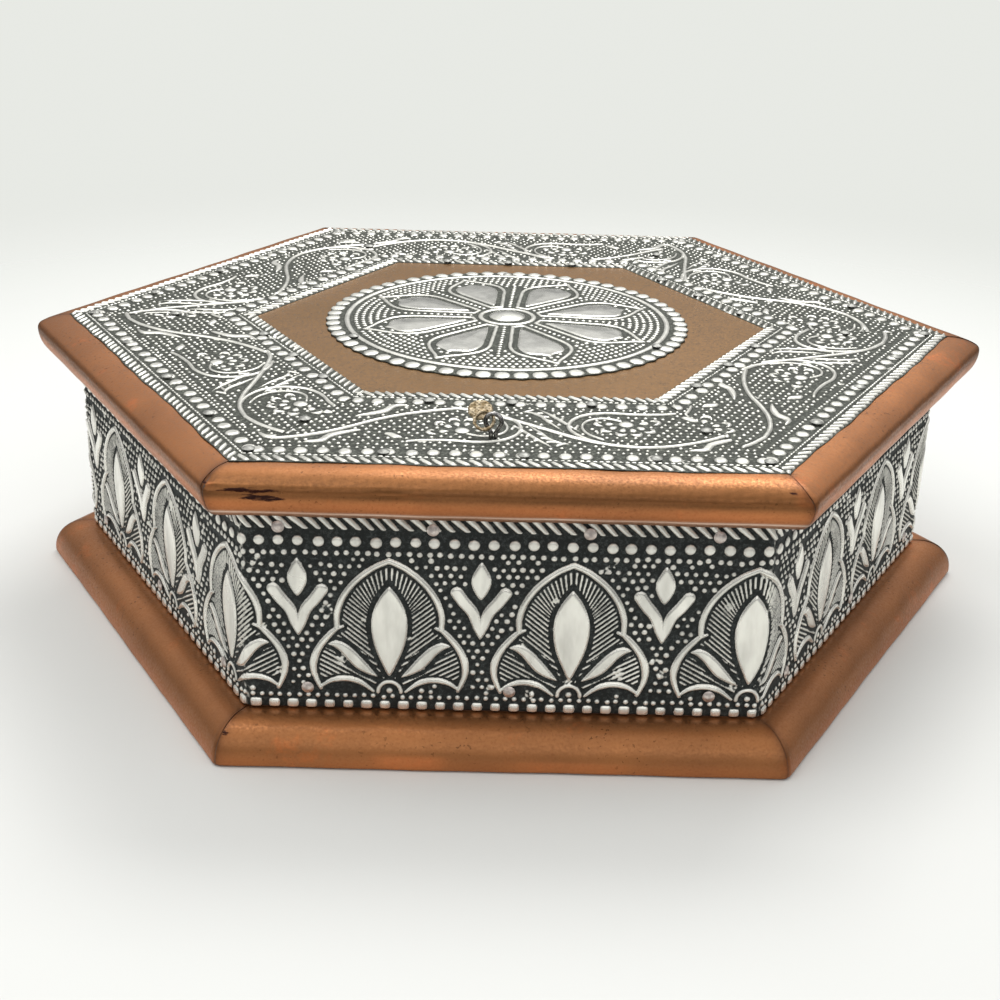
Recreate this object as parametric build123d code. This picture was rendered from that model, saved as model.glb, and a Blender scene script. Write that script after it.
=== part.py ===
"""A six-sided trinket box with a hinged lid.

Boards carry everything: a base board, six mitred wall boards and a lid board.
Copper sheet is folded over the edges of the base and the lid, and embossed
white-metal sheet is nailed round the walls and on the lid.
Millimetres. The box stands on z = 0, and its front face looks along -Y.
"""

import os
from math import asin, atan2, cos, degrees, pi, radians, sin, tan

from build123d import *

# Boards
wall_side = 114.0  # one side of the hexagon, over the embossed band
wall_height = 49.0
wall_board = 7.0
base_thickness = 9.7
base_overhang = 9.6  # beyond the embossed band
base_round = 8.4  # quarter round on the base's upper edge
foot_round = 1.0
lid_thickness = 9.9  # board with its copper, without the embossed strips
lid_overhang = 9.1
lid_upper_swell = 3.8  # height of the lid edge's upper curve
lid_curve_width = 7.6
lid_side_round = 2.2
lid_tuck = 1.6  # how far the edge is drawn in again at its foot
lip_chamfer = 0.9

# Sheet metal
copper = 0.4
copper_lap = 14.0  # how far each edge piece reaches in over its board
band_thickness = 0.8
band_corner_round = 3.0
band_clearance = 0.2  # above the base and below the lid
strip_thickness = 0.7
mitre_gap = 0.1
strip_width = 42.2
window_shift = (0.3, 2.3)  # the strips were not laid quite centrally

# Medallion
medallion_margin = 10.3  # between the medallion and the window
medallion_place = (-0.7, 3.1)
medallion_rim = 0.9
medallion_crown = 1.7
boss_radius = 4.7
boss_height = 0.8

# Nails: places along a side are shares of it, from its middle
nail_head_radius = 1.35
nail_head_height = 0.45
nail_shank_radius = 0.45
nail_length = 6.0
band_upper_nails = (-0.424, -0.138, 0.152, 0.391)
band_lower_nails = (-0.376, 0.011, 0.395)
band_upper_nail_depth = 5.2  # below the top of the wall
band_lower_nail_height = 5.4  # above the base
strip_inner_nails = (-0.162, 0.005, 0.163)
strip_outer_nails = (-0.478, -0.231, 0.025, 0.268)
strip_inner_nail_inset = 3.5  # from the window's edge
strip_outer_nail_inset = 6.0  # from the strips' outer edge
strip_seam_nail_inset = 24.6
medallion_nail_angles = (-29.0, 90.0, 206.0)
medallion_nail_inset = 4.5

# Lining: velvet over thin card
lining = 1.0
lining_margin = 1.0  # between the lid's lining and the walls' lining
lining_clearance = 0.4

# Hinges
hinge_length = 22.0
hinge_spacing = 64.0
hinge_leaf = 0.9
hinge_leaf_gap = 0.1
hinge_inset = 1.5  # wood left inside the leaf, on the wall's top
knuckle_radius = 1.6
knuckle_clearance = 0.3
knuckle_end_gap = 0.2
hinge_pin_radius = 0.75
hinge_pin_fit = 0.04
hinge_pin_head = 0.45  # length of the wider head at each end of a pin
lid_barrel_length = 8.0
screw_head_radius = 1.3
screw_shank_radius = 0.6
screw_length = 3.0
screw_spacing = 14.0
screw_slot = (1.8, 0.35, 0.3)

# Pull: a split pin through the lid, with a brass drop linked in its eye
pull_side_shift = -3.6
pull_inset = 16.5  # from the strips' outer edge
pull_turn = 10.0  # degrees that the eye is turned away from the front face
eye_wire = 1.0
eye_width = 4.5
eye_height = 5.6
eye_neck_height = 0.8
shank_gap = 0.1
shank_hole_clearance = 0.15
tail_length = 7.0
tail_bend = 0.62
drop_wire = 0.84
drop_ring_play = 0.68
drop_lean = 40.0  # degrees back from upright
drop_head = (5.6, 4.6)
drop_head_thickness = 1.3
drop_head_rounding = 0.5
drop_head_place = (-1.25, 2.55, -0.8)  # of its middle: sideways, up and forwards from the ring's

# Worked out from the sizes above
half_side_angle = pi / 6
side_count = 6
side_names = ("front", "front_right", "back_right", "back", "back_left", "front_left")
far = 300.0
band_face = wall_side * cos(half_side_angle)
wall_face = band_face - band_thickness
wall_inside = wall_face - wall_board
room_side = wall_inside - lining
wall_top = base_thickness + wall_height
base_edge = band_face + base_overhang
lid_edge = band_face + lid_overhang
strip_edge = lid_edge - lid_curve_width
window_edge = strip_edge - strip_width
medallion_radius = window_edge - medallion_margin
pull_place = (pull_side_shift, pull_inset - strip_edge)
drop_ring_radius = eye_wire + drop_wire / 2 + drop_ring_play  # to the middle of the wire
lid_copper_top = wall_top + lid_thickness
lid_top = lid_copper_top + strip_thickness
base_lap_edge = base_edge - copper_lap
lid_lap_edge = lid_edge - copper_lap
lid_lining_side = room_side - lining_margin
hinge_y = band_face + knuckle_clearance + knuckle_radius
hinge_places = (-hinge_spacing / 2, hinge_spacing / 2)
leaf_inner_y = wall_inside + hinge_inset
leaf_outer_y = hinge_y - knuckle_radius - hinge_leaf_gap
leaf_middle_y = (leaf_inner_y + leaf_outer_y) / 2
eye_centre_height = eye_height - eye_width / 2
side_section_plane = Plane(origin=(0, 0, 0), x_dir=(0, -1, 0), z_dir=(-1, 0, 0))
pull_frame = Pos(*pull_place, lid_top) * Rot(0, 0, -pull_turn)


def turned(side):
    """The turn that takes a piece of the front to the given side."""
    return Rot(0, 0, 60 * side)


def block(x, y, z):
    """A block between the two numbers given for each axis."""
    size = (x[1] - x[0], y[1] - y[0], z[1] - z[0])
    return Pos(x[0], y[0], z[0]) * Box(*size, align=(Align.MIN, Align.MIN, Align.MIN))


def hexagon_prism(apothem, low, high, corner_round=0):
    """A hexagonal prism with a side to the front and corners on the X axis."""
    base = RegularPolygon(apothem, side_count, major_radius=False)
    prism = extrude(Pos(0, 0, low) * base, high - low)
    if corner_round:
        prism = fillet(prism.edges().filter_by(Axis.Z), corner_round)
    return prism


def corner(apothem, number, shift=(0, 0)):
    """Corner 0 is the front one on the left, and the rest follow counter-clockwise."""
    circumradius = apothem / cos(half_side_angle)
    angle = radians(60 * number - 120)
    return (circumradius * cos(angle) + shift[0], circumradius * sin(angle) + shift[1])


def sector(side, low=-far, high=far):
    """The space of one side, between the planes of its two mitres."""
    outline = Polygon((0, 0), corner(far, side), corner(far, side + 1), align=None)
    return extrude(Pos(0, 0, low) * outline, high - low)


def moulded_board(section):
    """A hexagonal board with the same moulded section on all its sides."""
    slab = extrude(side_section_plane * section, far, both=True)
    return slab & (Rot(0, 0, 60) * slab) & (Rot(0, 0, 120) * slab)


def both_halves(outline):
    """A section's outer half, drawn from its middle line, and its mirror image."""
    half = make_face(outline)
    return half + mirror(half, about=Plane.YZ)


def base_section():
    """Square at the foot but for a small round, and a quarter round above."""
    round_centre = (base_edge - base_round, base_thickness - base_round)
    foot = (base_edge - foot_round, foot_round)
    return both_halves(
        Line((0, 0), (foot[0], 0))
        + CenterArc(foot, foot_round, -90, 90)
        + Line((base_edge, foot_round), (base_edge, round_centre[1]))
        + CenterArc(round_centre, base_round, 0, 90)
        + Polyline((round_centre[0], base_thickness), (0, base_thickness), (0, 0))
    )


def lid_section():
    """A swelling edge: two arcs above its widest line and one flat arc below."""
    widest = lid_thickness - lid_upper_swell
    drop = widest - lip_chamfer
    lower = (lid_tuck**2 + drop**2) / (2 * lid_tuck)
    lower_angle = degrees(asin(drop / lower))
    shoulder = lid_edge - lid_curve_width
    run = lid_curve_width - lid_side_round
    upper = (run**2 + lid_upper_swell**2 - lid_side_round**2) / 2
    upper /= lid_upper_swell - lid_side_round
    join = degrees(atan2(upper - lid_upper_swell, run))
    lip = lid_edge - lid_tuck
    return both_halves(
        Polyline((0, 0), (lip - lip_chamfer, 0), (lip, lip_chamfer))
        + CenterArc((lid_edge - lower, widest), lower, -lower_angle, lower_angle)
        + CenterArc((lid_edge - lid_side_round, widest), lid_side_round, 0, join)
        + CenterArc((shoulder, lid_thickness - upper), upper, join, 90 - join)
        + Polyline((shoulder, lid_thickness), (0, lid_thickness), (0, 0))
    )


def copper_shell(section, lap_edge):
    """Sheet folded round a board's edge, let in flush above and below."""
    core = hexagon_prism(lap_edge, -far / 2, far / 2)
    return moulded_board(section) - moulded_board(offset(section, -copper)) - core


def edge_pieces(shell, prefix):
    """The shell cut at its mitres into one piece for each side."""
    return {f"{prefix}_{name}": shell & sector(k) for k, name in enumerate(side_names)}


def domed_head(radius, height):
    """A low dome on the plane z = 0."""
    ball_radius = (radius**2 + height**2) / (2 * height)
    ball = Pos(0, 0, height - ball_radius) * Sphere(ball_radius)
    return ball & block((-radius, radius), (-radius, radius), (0, height))


def nail():
    """A small domed nail standing on z = 0, its shank along -Z."""
    shank = Pos(0, 0, -nail_length / 2) * Cylinder(nail_shank_radius, nail_length)
    return domed_head(nail_head_radius, nail_head_height) + shank


def band_nails():
    """Nails along the upper and lower edges of the embossed band, alike on each side."""
    upper = [(x, wall_top - band_upper_nail_depth) for x in band_upper_nails]
    lower = [(x, base_thickness + band_lower_nail_height) for x in band_lower_nails]
    facing_out = Rot(90, 0, 0)
    return [
        turned(side) * Pos(x * wall_side, -band_face, z) * facing_out * nail()
        for side in range(side_count)
        for x, z in upper + lower
    ]


def strip_nails():
    """Nails in both bead rows of each lid strip, and one on each mitre."""
    seam_reach = strip_edge - strip_seam_nail_inset
    seam_x = -seam_reach * tan(half_side_angle) - nail_head_radius
    inner = [(x * wall_side, window_edge + strip_inner_nail_inset) for x in strip_inner_nails]
    outer = [(x * wall_side, strip_edge - strip_outer_nail_inset) for x in strip_outer_nails]
    return [
        turned(side) * Pos(x, -reach, lid_top) * nail()
        for side in range(side_count)
        for x, reach in inner + outer + [(seam_x, seam_reach)]
    ]


def medallion_nails():
    """Nails just inside the medallion's beaded rim."""
    reach = medallion_radius - medallion_nail_inset
    height = lid_copper_top + medallion_height(reach)
    return [
        Pos(medallion_place[0] + reach * cos(a), medallion_place[1] + reach * sin(a), height)
        * nail()
        for a in map(radians, medallion_nail_angles)
    ]


def medallion_height(reach):
    """How high the medallion stands above the copper at a distance from its centre."""
    rise = medallion_crown - medallion_rim
    return medallion_rim + rise * (1 - (reach / medallion_radius) ** 2)


def medallion():
    """A low dome on a thin rim, with a boss at its centre."""
    rim = Pos(0, 0, medallion_rim / 2) * Cylinder(medallion_radius, medallion_rim)
    crown = domed_head(medallion_radius, medallion_crown - medallion_rim)
    boss = Cylinder(boss_radius, medallion_crown, align=(Align.CENTER, Align.CENTER, Align.MIN))
    boss += Pos(0, 0, medallion_crown) * domed_head(boss_radius, boss_height)
    return Pos(*medallion_place, lid_copper_top) * (rim + Pos(0, 0, medallion_rim) * crown + boss)


def lid_strip(side):
    """One flat strip of the lid's border, mitred at both ends."""
    corners = (
        corner(strip_edge, side),
        corner(strip_edge, side + 1),
        corner(window_edge, side + 1, window_shift),
        corner(window_edge, side, window_shift),
    )
    outline = Polygon(*corners, align=None)
    cut = offset(outline, -mitre_gap / 2, kind=Kind.INTERSECTION)
    return extrude(Pos(0, 0, lid_copper_top) * cut, strip_thickness)


def wall_ring():
    """The six wall boards before they are parted, with their outer corners eased."""
    ease = band_corner_round - band_thickness
    outer = hexagon_prism(wall_face, base_thickness, wall_top, ease)
    return outer - hexagon_prism(wall_inside, base_thickness, wall_top)


def embossed_band():
    """Sheet wrapped round all the walls."""
    low = base_thickness + band_clearance
    high = wall_top - band_clearance
    outer = hexagon_prism(band_face, low, high, band_corner_round)
    ease = band_corner_round - band_thickness
    return outer - hexagon_prism(wall_face, low, high, ease)


def wall_lining():
    """Lining panels of the six walls before they are parted."""
    low = base_thickness + lining + lining_clearance
    high = wall_top - lining
    return hexagon_prism(wall_inside, low, high) - hexagon_prism(room_side, low, high)


def along_x(radius, span):
    """A round bar along the hinge's line."""
    middle = (span[0] + span[1]) / 2
    return Pos(middle, hinge_y, wall_top) * Rot(0, 90, 0) * Cylinder(radius, span[1] - span[0])


def hinge_spans(x):
    """Where the wall leaf's two barrels and the lid leaf's one barrel lie."""
    half = hinge_length / 2
    inner = lid_barrel_length / 2
    wall = ((x - half, x - inner - knuckle_end_gap), (x + inner + knuckle_end_gap, x + half))
    return wall, ((x - inner, x + inner),)


def screw_places(x):
    """The two screws of a leaf."""
    return ((x - screw_spacing / 2, leaf_middle_y), (x + screw_spacing / 2, leaf_middle_y))


def hinge_leaf_piece(x, spans, low):
    """A leaf with its barrels, bored for the pin and countersunk for its screws."""
    high = low + hinge_leaf
    half = hinge_length / 2
    leaf = block((x - half, x + half), (leaf_inner_y, leaf_outer_y), (low, high))
    for span in spans:
        leaf += along_x(knuckle_radius, span) + block(span, (leaf_outer_y, hinge_y), (low, high))
    leaf -= along_x(hinge_pin_radius + hinge_pin_fit, (x - hinge_length, x + hinge_length))
    upward = low < wall_top - hinge_leaf / 2
    for place in screw_places(x):
        leaf -= screw_at(place, high if upward else low, upward, slotted=False)
    return leaf


def screw_at(place, face, upward, slotted=True):
    """A countersunk screw whose head lies flush in a leaf's face."""
    cone = Pos(0, 0, -hinge_leaf / 2) * Cone(screw_shank_radius, screw_head_radius, hinge_leaf)
    shank = Pos(0, 0, -screw_length / 2) * Cylinder(screw_shank_radius, screw_length)
    screw = cone + shank
    if slotted:
        screw -= Pos(0, 0, -screw_slot[2] / 2) * Box(*screw_slot)
    flip = Rot(0, 0, 0) if upward else Rot(180, 0, 0)
    return Pos(*place, face) * flip * screw


def leaf_recess(x, low, high):
    """Room in the wood for one leaf."""
    half = hinge_length / 2 + hinge_leaf_gap
    return block((x - half, x + half), (leaf_inner_y - hinge_leaf_gap, far), (low, high))


def lid_hinge_room(x):
    """Room in the lid for its leaf, the knuckles and the ends of the pin."""
    half = hinge_length / 2 + hinge_pin_head + knuckle_clearance
    reach = knuckle_radius + knuckle_clearance
    across = (x - half, x + half)
    leaf_high = wall_top + hinge_leaf_gap / 2 + hinge_leaf
    leaf = block(across, (leaf_inner_y - hinge_leaf_gap, leaf_outer_y), (0, leaf_high))
    knuckles = block(across, (leaf_outer_y, hinge_y + reach), (0, wall_top + reach))
    return leaf + knuckles


def hinge_pin(x):
    """A plain pin with a slightly larger head at each end of the knuckle."""
    half = hinge_length / 2
    inner = half + hinge_leaf_gap / 2
    outer = half + hinge_pin_head
    pin = along_x(hinge_pin_radius, (x - outer, x + outer))
    for end in ((x - outer, x - inner), (x + inner, x + outer)):
        pin += along_x(hinge_pin_radius * 1.4, end)
    return pin


def split_pin():
    """One bent wire: two tails, a double shank and a round eye above the lid."""
    shank = (eye_wire + shank_gap) / 2
    eye = (eye_width - eye_wire) / 2
    tail = -(lid_top - (wall_top - lining)) - eye_wire / 2
    shoulder = eye_centre_height - 0.5
    left = [(-tail_length, tail), (-shank, tail), (-shank, eye_neck_height),
            (-eye, shoulder), (-eye, eye_centre_height)]
    right = [(-u, v) for u, v in reversed(left)]
    arch = ThreePointArc(left[-1], (0, eye_centre_height + eye), right[0])
    path = FilletPolyline(*left, radius=tail_bend) + arch + FilletPolyline(*right, radius=tail_bend)
    wire = Plane.XZ * path
    start = Plane(wire @ 0, z_dir=(1, 0, 0))
    return pull_frame * sweep(start * Circle(eye_wire / 2), path=wire)


def shank_room(low, high):
    """The hole for the pin's double shank."""
    radius = eye_wire + shank_gap / 2 + shank_hole_clearance
    return Pos(*pull_place, (low + high) / 2) * Cylinder(radius, high - low)


def drop():
    """A wire ring with a flattened head, linked through the eye and leaning back."""
    ring = Torus(drop_ring_radius, drop_wire / 2)
    width, height = drop_head
    blank = extrude(Ellipse(width / 2, height / 2), drop_head_thickness / 2, both=True)
    head = Pos(*drop_head_place) * fillet(blank.edges(), drop_head_rounding)
    upright = Rot(90 - drop_lean, 0, 0)
    centre = Pos(-drop_ring_radius, 0, eye_centre_height)
    return pull_frame * centre * upright * (ring + head)


def lid_pieces():
    """Everything that opens with the lid, but for its nails, screws and pull."""
    raise_lid = Pos(0, 0, wall_top)
    section = lid_section()
    shell = raise_lid * copper_shell(section, lid_lap_edge)
    sheet = hexagon_prism(lid_lap_edge, lid_copper_top - copper, lid_copper_top)
    board = raise_lid * moulded_board(section) - shell - sheet
    for x in hinge_places:
        room = lid_hinge_room(x)
        board -= room
        shell -= room
    hole = shank_room(wall_top - far / 10, lid_top + far / 10)
    pieces = {"lid_board": board - hole, "lid_sheet": sheet - hole}
    pieces.update(edge_pieces(shell, "lid_edge"))
    for side, name in enumerate(side_names):
        pieces[f"lid_strip_{name}"] = lid_strip(side)
    pieces["lid_strip_front"] -= hole
    pieces["medallion"] = medallion()
    pieces["lid_lining"] = hexagon_prism(lid_lining_side, wall_top - lining, wall_top) - hole
    return pieces


def base_pieces():
    """The base, the walls, the embossed band and the linings."""
    section = base_section()
    shell = copper_shell(section, base_lap_edge)
    pieces = {"base_board": moulded_board(section) - shell}
    pieces.update(edge_pieces(shell, "base_edge"))
    walls = wall_ring()
    band = embossed_band()
    leaf_low = wall_top - hinge_leaf_gap / 2 - hinge_leaf
    for x in hinge_places:
        walls -= leaf_recess(x, leaf_low, far)
        band -= leaf_recess(x, leaf_low - hinge_leaf_gap, far)
    linings = wall_lining()
    for side, name in enumerate(side_names):
        pieces[f"wall_{name}"] = walls & sector(side)
        pieces[f"wall_lining_{name}"] = linings & sector(side)
    pieces["band_front"] = band & block((-far, far), (-far, 0), (0, far))
    pieces["band_rear"] = band & block((-far, far), (0, far), (0, far))
    floor = base_thickness + lining
    pieces["floor_lining"] = hexagon_prism(wall_inside, base_thickness, floor)
    return pieces


def hinge_pieces():
    """Two butt hinges: a leaf on the wall, a leaf on the lid and a pin each."""
    pieces = {}
    wall_low = wall_top - hinge_leaf_gap / 2 - hinge_leaf
    lid_low = wall_top + hinge_leaf_gap / 2
    for x, name in zip(hinge_places, ("left", "right")):
        wall_spans, lid_spans = hinge_spans(x)
        pieces[f"hinge_{name}_wall_leaf"] = hinge_leaf_piece(x, wall_spans, wall_low)
        pieces[f"hinge_{name}_lid_leaf"] = hinge_leaf_piece(x, lid_spans, lid_low)
        pieces[f"hinge_{name}_pin"] = hinge_pin(x)
    places = [place for x in hinge_places for place in screw_places(x)]
    pieces["hinge_wall_screws"] = Compound(
        children=[screw_at(p, wall_low + hinge_leaf, upward=True) for p in places]
    )
    pieces["hinge_lid_screws"] = Compound(
        children=[screw_at(p, lid_low, upward=False) for p in places]
    )
    return pieces


def main():
    pieces = base_pieces()
    pieces.update(lid_pieces())
    pieces.update(hinge_pieces())
    pieces["band_nails"] = Compound(children=band_nails())
    pieces["strip_nails"] = Compound(children=strip_nails())
    pieces["medallion_nails"] = Compound(children=medallion_nails())
    pieces["pull_pin"] = split_pin()
    pieces["pull_drop"] = drop()
    os.makedirs("parts", exist_ok=True)
    for name, piece in pieces.items():
        export_step(piece, f"parts/{name}.step")
    print(len(pieces), "pieces; lid hinge at y", round(hinge_y, 3), "z", wall_top)
    print("lid top", round(lid_top, 3), "eye", pull_place, round(lid_top + eye_centre_height, 3))


main()
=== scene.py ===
"""The looks of the hexagonal trinket box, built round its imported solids.

Every embossed sheet is drawn first as a height field on a fine raster and then
laid over a closed mesh. Drawing is in millimetres and the scene is in metres.
"""

import math

import bpy
import numpy as np
from mathutils import Matrix, Vector

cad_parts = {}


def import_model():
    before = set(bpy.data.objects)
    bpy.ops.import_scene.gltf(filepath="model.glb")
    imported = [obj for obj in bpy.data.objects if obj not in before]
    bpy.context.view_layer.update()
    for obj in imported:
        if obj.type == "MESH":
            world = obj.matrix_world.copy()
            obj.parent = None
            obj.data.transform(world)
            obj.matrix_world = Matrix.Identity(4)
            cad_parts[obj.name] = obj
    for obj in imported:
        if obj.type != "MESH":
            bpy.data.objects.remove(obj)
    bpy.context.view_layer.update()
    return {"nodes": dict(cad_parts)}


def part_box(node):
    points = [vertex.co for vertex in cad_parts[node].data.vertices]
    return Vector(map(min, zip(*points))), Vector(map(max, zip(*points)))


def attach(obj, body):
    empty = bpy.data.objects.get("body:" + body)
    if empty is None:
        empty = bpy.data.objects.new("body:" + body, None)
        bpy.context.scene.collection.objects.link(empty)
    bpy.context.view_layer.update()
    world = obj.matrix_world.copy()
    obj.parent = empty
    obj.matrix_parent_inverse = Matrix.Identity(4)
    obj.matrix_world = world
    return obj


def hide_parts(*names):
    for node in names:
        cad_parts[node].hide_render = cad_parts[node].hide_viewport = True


MM = 0.001
SIDES = ("front", "front_right", "back_right", "back", "back_left", "front_left")
HALF_SIDE = math.pi / 6
TAN_HALF = math.tan(HALF_SIDE)
random = np.random.default_rng(11)


# Camera and light

CAMERA_PLACE = (-0.0037, -0.4049, 0.1920)
CAMERA_YAW = math.radians(0.34)
CAMERA_PITCH = math.radians(23.19)
CAMERA_ROLL = math.radians(1.56)
CAMERA_LENS = 57.66
CAMERA_SENSOR = 36
CAMERA_NEAR = 0.01


def add_camera():
    """The photo's viewpoint."""
    data = bpy.data.cameras.new("camera")
    data.lens = CAMERA_LENS
    data.sensor_width = CAMERA_SENSOR
    data.clip_start = CAMERA_NEAR
    camera = bpy.data.objects.new("camera", data)
    bpy.context.scene.collection.objects.link(camera)
    forward = Vector((
        math.sin(CAMERA_YAW) * math.cos(CAMERA_PITCH),
        math.cos(CAMERA_YAW) * math.cos(CAMERA_PITCH),
        -math.sin(CAMERA_PITCH),
    ))
    level = forward.cross(Vector((0, 0, 1))).normalized()
    upright = level.cross(forward)
    c, s = math.cos(CAMERA_ROLL), math.sin(CAMERA_ROLL)
    right = c * level + s * upright
    up = c * upright - s * level
    turn = Matrix((right, up, -forward)).transposed().to_4x4()
    camera.matrix_world = Matrix.Translation(CAMERA_PLACE) @ turn
    bpy.context.scene.camera = camera


# Each light's place, the point that it looks at, its two sizes and its power
LIGHTS = {
    "key": ((-0.3, -0.1, 0.8), (0, 0, 0.05), (0.5, 0.5), 1.8),
    "back": ((0.15, 0.42, 0.8), (0, 0, 0.05), (0.5, 0.35), 3.7),
    "front": ((0.1, -0.8, 0.5), (0, 0, 0.04), (0.9, 0.35), 0.5),
}


def add_area_light(name, place, target, size, power):
    """A soft rectangular light that looks at a point."""
    data = bpy.data.lights.new(name, "AREA")
    data.shape = "RECTANGLE"
    data.size, data.size_y = size
    data.energy = power
    light = bpy.data.objects.new(name, data)
    bpy.context.scene.collection.objects.link(light)
    direction = Vector(target) - Vector(place)
    light.matrix_world = (
        Matrix.Translation(place) @ direction.to_track_quat("-Z", "Y").to_matrix().to_4x4()
    )


BACKDROP = (0.805, 0.82, 0.78)
SKY_TOP = (1.0, 1.0, 1.0)
SKY_SIDE = (0.16, 0.165, 0.17)
SKY_RISE = (0.05, 0.55)  # heights between which the side turns into the top
SKY_STRENGTH = 0.9
FLOOR_REACH = 3.0
FLOOR_COLOUR = (0.74, 0.745, 0.72)
FLOOR_FADE = (0.16, 0.5)  # metres from the middle


def add_world():
    """A pale room: brighter above than at the sides, and an even backdrop to the camera."""
    world = bpy.data.worlds.new("room")
    bpy.context.scene.world = world
    world.use_nodes = True
    tree = Tree(world.node_tree)
    direction = tree.node("ShaderNodeTexCoord").outputs["Generated"]
    height = tree.node("ShaderNodeSeparateXYZ", Vector=direction).outputs["Z"]
    share = tree.map_range(height, *SKY_RISE)
    colour = tree.mix(share, SKY_SIDE, SKY_TOP)
    room = tree.node("ShaderNodeBackground", Color=colour, Strength=SKY_STRENGTH)
    seen = tree.node("ShaderNodeBackground", Color=(*BACKDROP, 1), Strength=1.0)
    ray = tree.node("ShaderNodeLightPath").outputs["Is Camera Ray"]
    both = tree.node("ShaderNodeMixShader")
    tree.link(ray, both.inputs[0])
    tree.link(room.outputs[0], both.inputs[1])
    tree.link(seen.outputs[0], both.inputs[2])
    output = tree.node("ShaderNodeOutputWorld")
    tree.link(both.outputs[0], output.inputs["Surface"])


def add_floor():
    """A pale table top that fades into the backdrop away from the box."""
    reach = FLOOR_REACH
    mesh = bpy.data.meshes.new("floor")
    corners = [(-reach, -reach, 0), (reach, -reach, 0), (reach, reach, 0), (-reach, reach, 0)]
    mesh.from_pydata(corners, [], [(0, 1, 2, 3)])
    floor = bpy.data.objects.new("floor", mesh)
    bpy.context.scene.collection.objects.link(floor)
    material = bpy.data.materials.new("table_top")
    material.use_nodes = True
    tree = Tree(material.node_tree)
    place = tree.node("ShaderNodeTexCoord").outputs["Object"]
    distance = tree.node("ShaderNodeVectorMath", operation="LENGTH")
    tree.link(place, distance.inputs[0])
    fade = tree.map_range(distance.outputs["Value"], *FLOOR_FADE)
    plain = tree.node("ShaderNodeBsdfDiffuse", Color=(*FLOOR_COLOUR, 1))
    clear = tree.node("ShaderNodeBsdfTransparent")
    surface = tree.node("ShaderNodeMixShader")
    tree.link(fade, surface.inputs[0])
    tree.link(plain.outputs[0], surface.inputs[1])
    tree.link(clear.outputs[0], surface.inputs[2])
    output = tree.node("ShaderNodeOutputMaterial")
    tree.link(surface.outputs[0], output.inputs["Surface"])
    mesh.materials.append(material)


def add_lights():
    """Soft light from above, strongest over the back of the lid."""
    for name, light in LIGHTS.items():
        add_area_light(name, *light)


# Node materials

class Tree:
    """A node tree with short ways to add and join nodes."""

    def __init__(self, tree):
        self.tree = tree
        tree.nodes.clear()

    def link(self, output, socket):
        self.tree.links.new(output, socket)

    def node(self, kind, operation=None, **inputs):
        """A new node; each named input is a constant or another node's output."""
        node = self.tree.nodes.new(kind)
        if operation:
            node.operation = operation
        for name, value in inputs.items():
            self.feed(node.inputs[name.replace("_", " ")], value)
        return node

    def feed(self, socket, value):
        if isinstance(value, bpy.types.NodeSocket):
            self.link(value, socket)
        elif isinstance(value, tuple) and len(value) == 3 and socket.type == "RGBA":
            socket.default_value = (*value, 1)
        else:
            socket.default_value = value

    def math(self, operation, first, second=0.0, clamp=False):
        node = self.node("ShaderNodeMath", operation)
        node.use_clamp = clamp
        self.feed(node.inputs[0], first)
        self.feed(node.inputs[1], second)
        return node.outputs[0]

    def map_range(self, value, low, high, to_low=0.0, to_high=1.0):
        node = self.node("ShaderNodeMapRange")
        node.interpolation_type = "SMOOTHSTEP"
        for socket, number in zip(node.inputs[:5], (value, low, high, to_low, to_high)):
            self.feed(socket, number)
        return node.outputs[0]

    def mix(self, share, first, second):
        node = self.tree.nodes.new("ShaderNodeMix")
        node.data_type = "RGBA"
        self.feed(node.inputs["Factor"], share)
        self.feed(node.inputs[6], first)
        self.feed(node.inputs[7], second)
        return node.outputs[2]

    def mix_number(self, share, first, second):
        node = self.tree.nodes.new("ShaderNodeMix")
        self.feed(node.inputs["Factor"], share)
        self.feed(node.inputs[2], first)
        self.feed(node.inputs[3], second)
        return node.outputs[0]

    def attribute(self, name):
        node = self.tree.nodes.new("ShaderNodeAttribute")
        node.attribute_name = name
        return node.outputs["Fac"]

    def noise(self, scale, detail=4.0, roughness=0.55, stretch=(1, 1, 1)):
        """Noise over object space, with scale in waves to the metre."""
        place = self.node("ShaderNodeTexCoord").outputs["Object"]
        mapping = self.node("ShaderNodeMapping", Vector=place)
        mapping.inputs["Scale"].default_value = stretch
        node = self.node(
            "ShaderNodeTexNoise", Vector=mapping.outputs[0],
            Scale=scale, Detail=detail, Roughness=roughness,
        )
        return node.outputs["Fac"]

    def bump(self, height, distance, strength=1.0):
        node = self.node("ShaderNodeBump", Height=height, Distance=distance, Strength=strength)
        return node.outputs[0]


def new_material(name):
    """A material, its tree and its main shader."""
    material = bpy.data.materials.new(name)
    material.use_nodes = True
    tree = Tree(material.node_tree)
    shader = tree.node("ShaderNodeBsdfPrincipled")
    output = tree.node("ShaderNodeOutputMaterial")
    tree.link(shader.outputs[0], output.inputs["Surface"])
    return material, tree, shader


GRIT = 4.0  # how much brighter the specks of a dark ground are
COPPER_FLECK = (0.1, 0.04, 0.015)
COPPER_GLOW = (0.7, 0.19, 0.05)
COPPER_STAIN = (0.05, 0.014, 0.009)
PATINA_AND_PAINTED_LIGHT = {
    # Rubbed bright copper at the lid's worn corners, and painted light along the lower curve of the lid and
    # the base
    "worn_and_painted_light": (0.72, 0.24, 0.08),
    # Painted dark reflection along the lid's edge under its widest line, and across the lid's front
    "painted_dark_reflection": (0.17, 0.07, 0.022),
    # A painted highlight along the lid's lip
    "painted_highlight": (1.0, 0.82, 0.68),
    "seam": (0.03, 0.008, 0.007),
}
WOOD_COLOURS = ((0.08, 0.035, 0.016), (0.19, 0.09, 0.04))
VELVET_COLOURS = ((0.06, 0.002, 0.006), (0.2, 0.012, 0.022))


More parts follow.
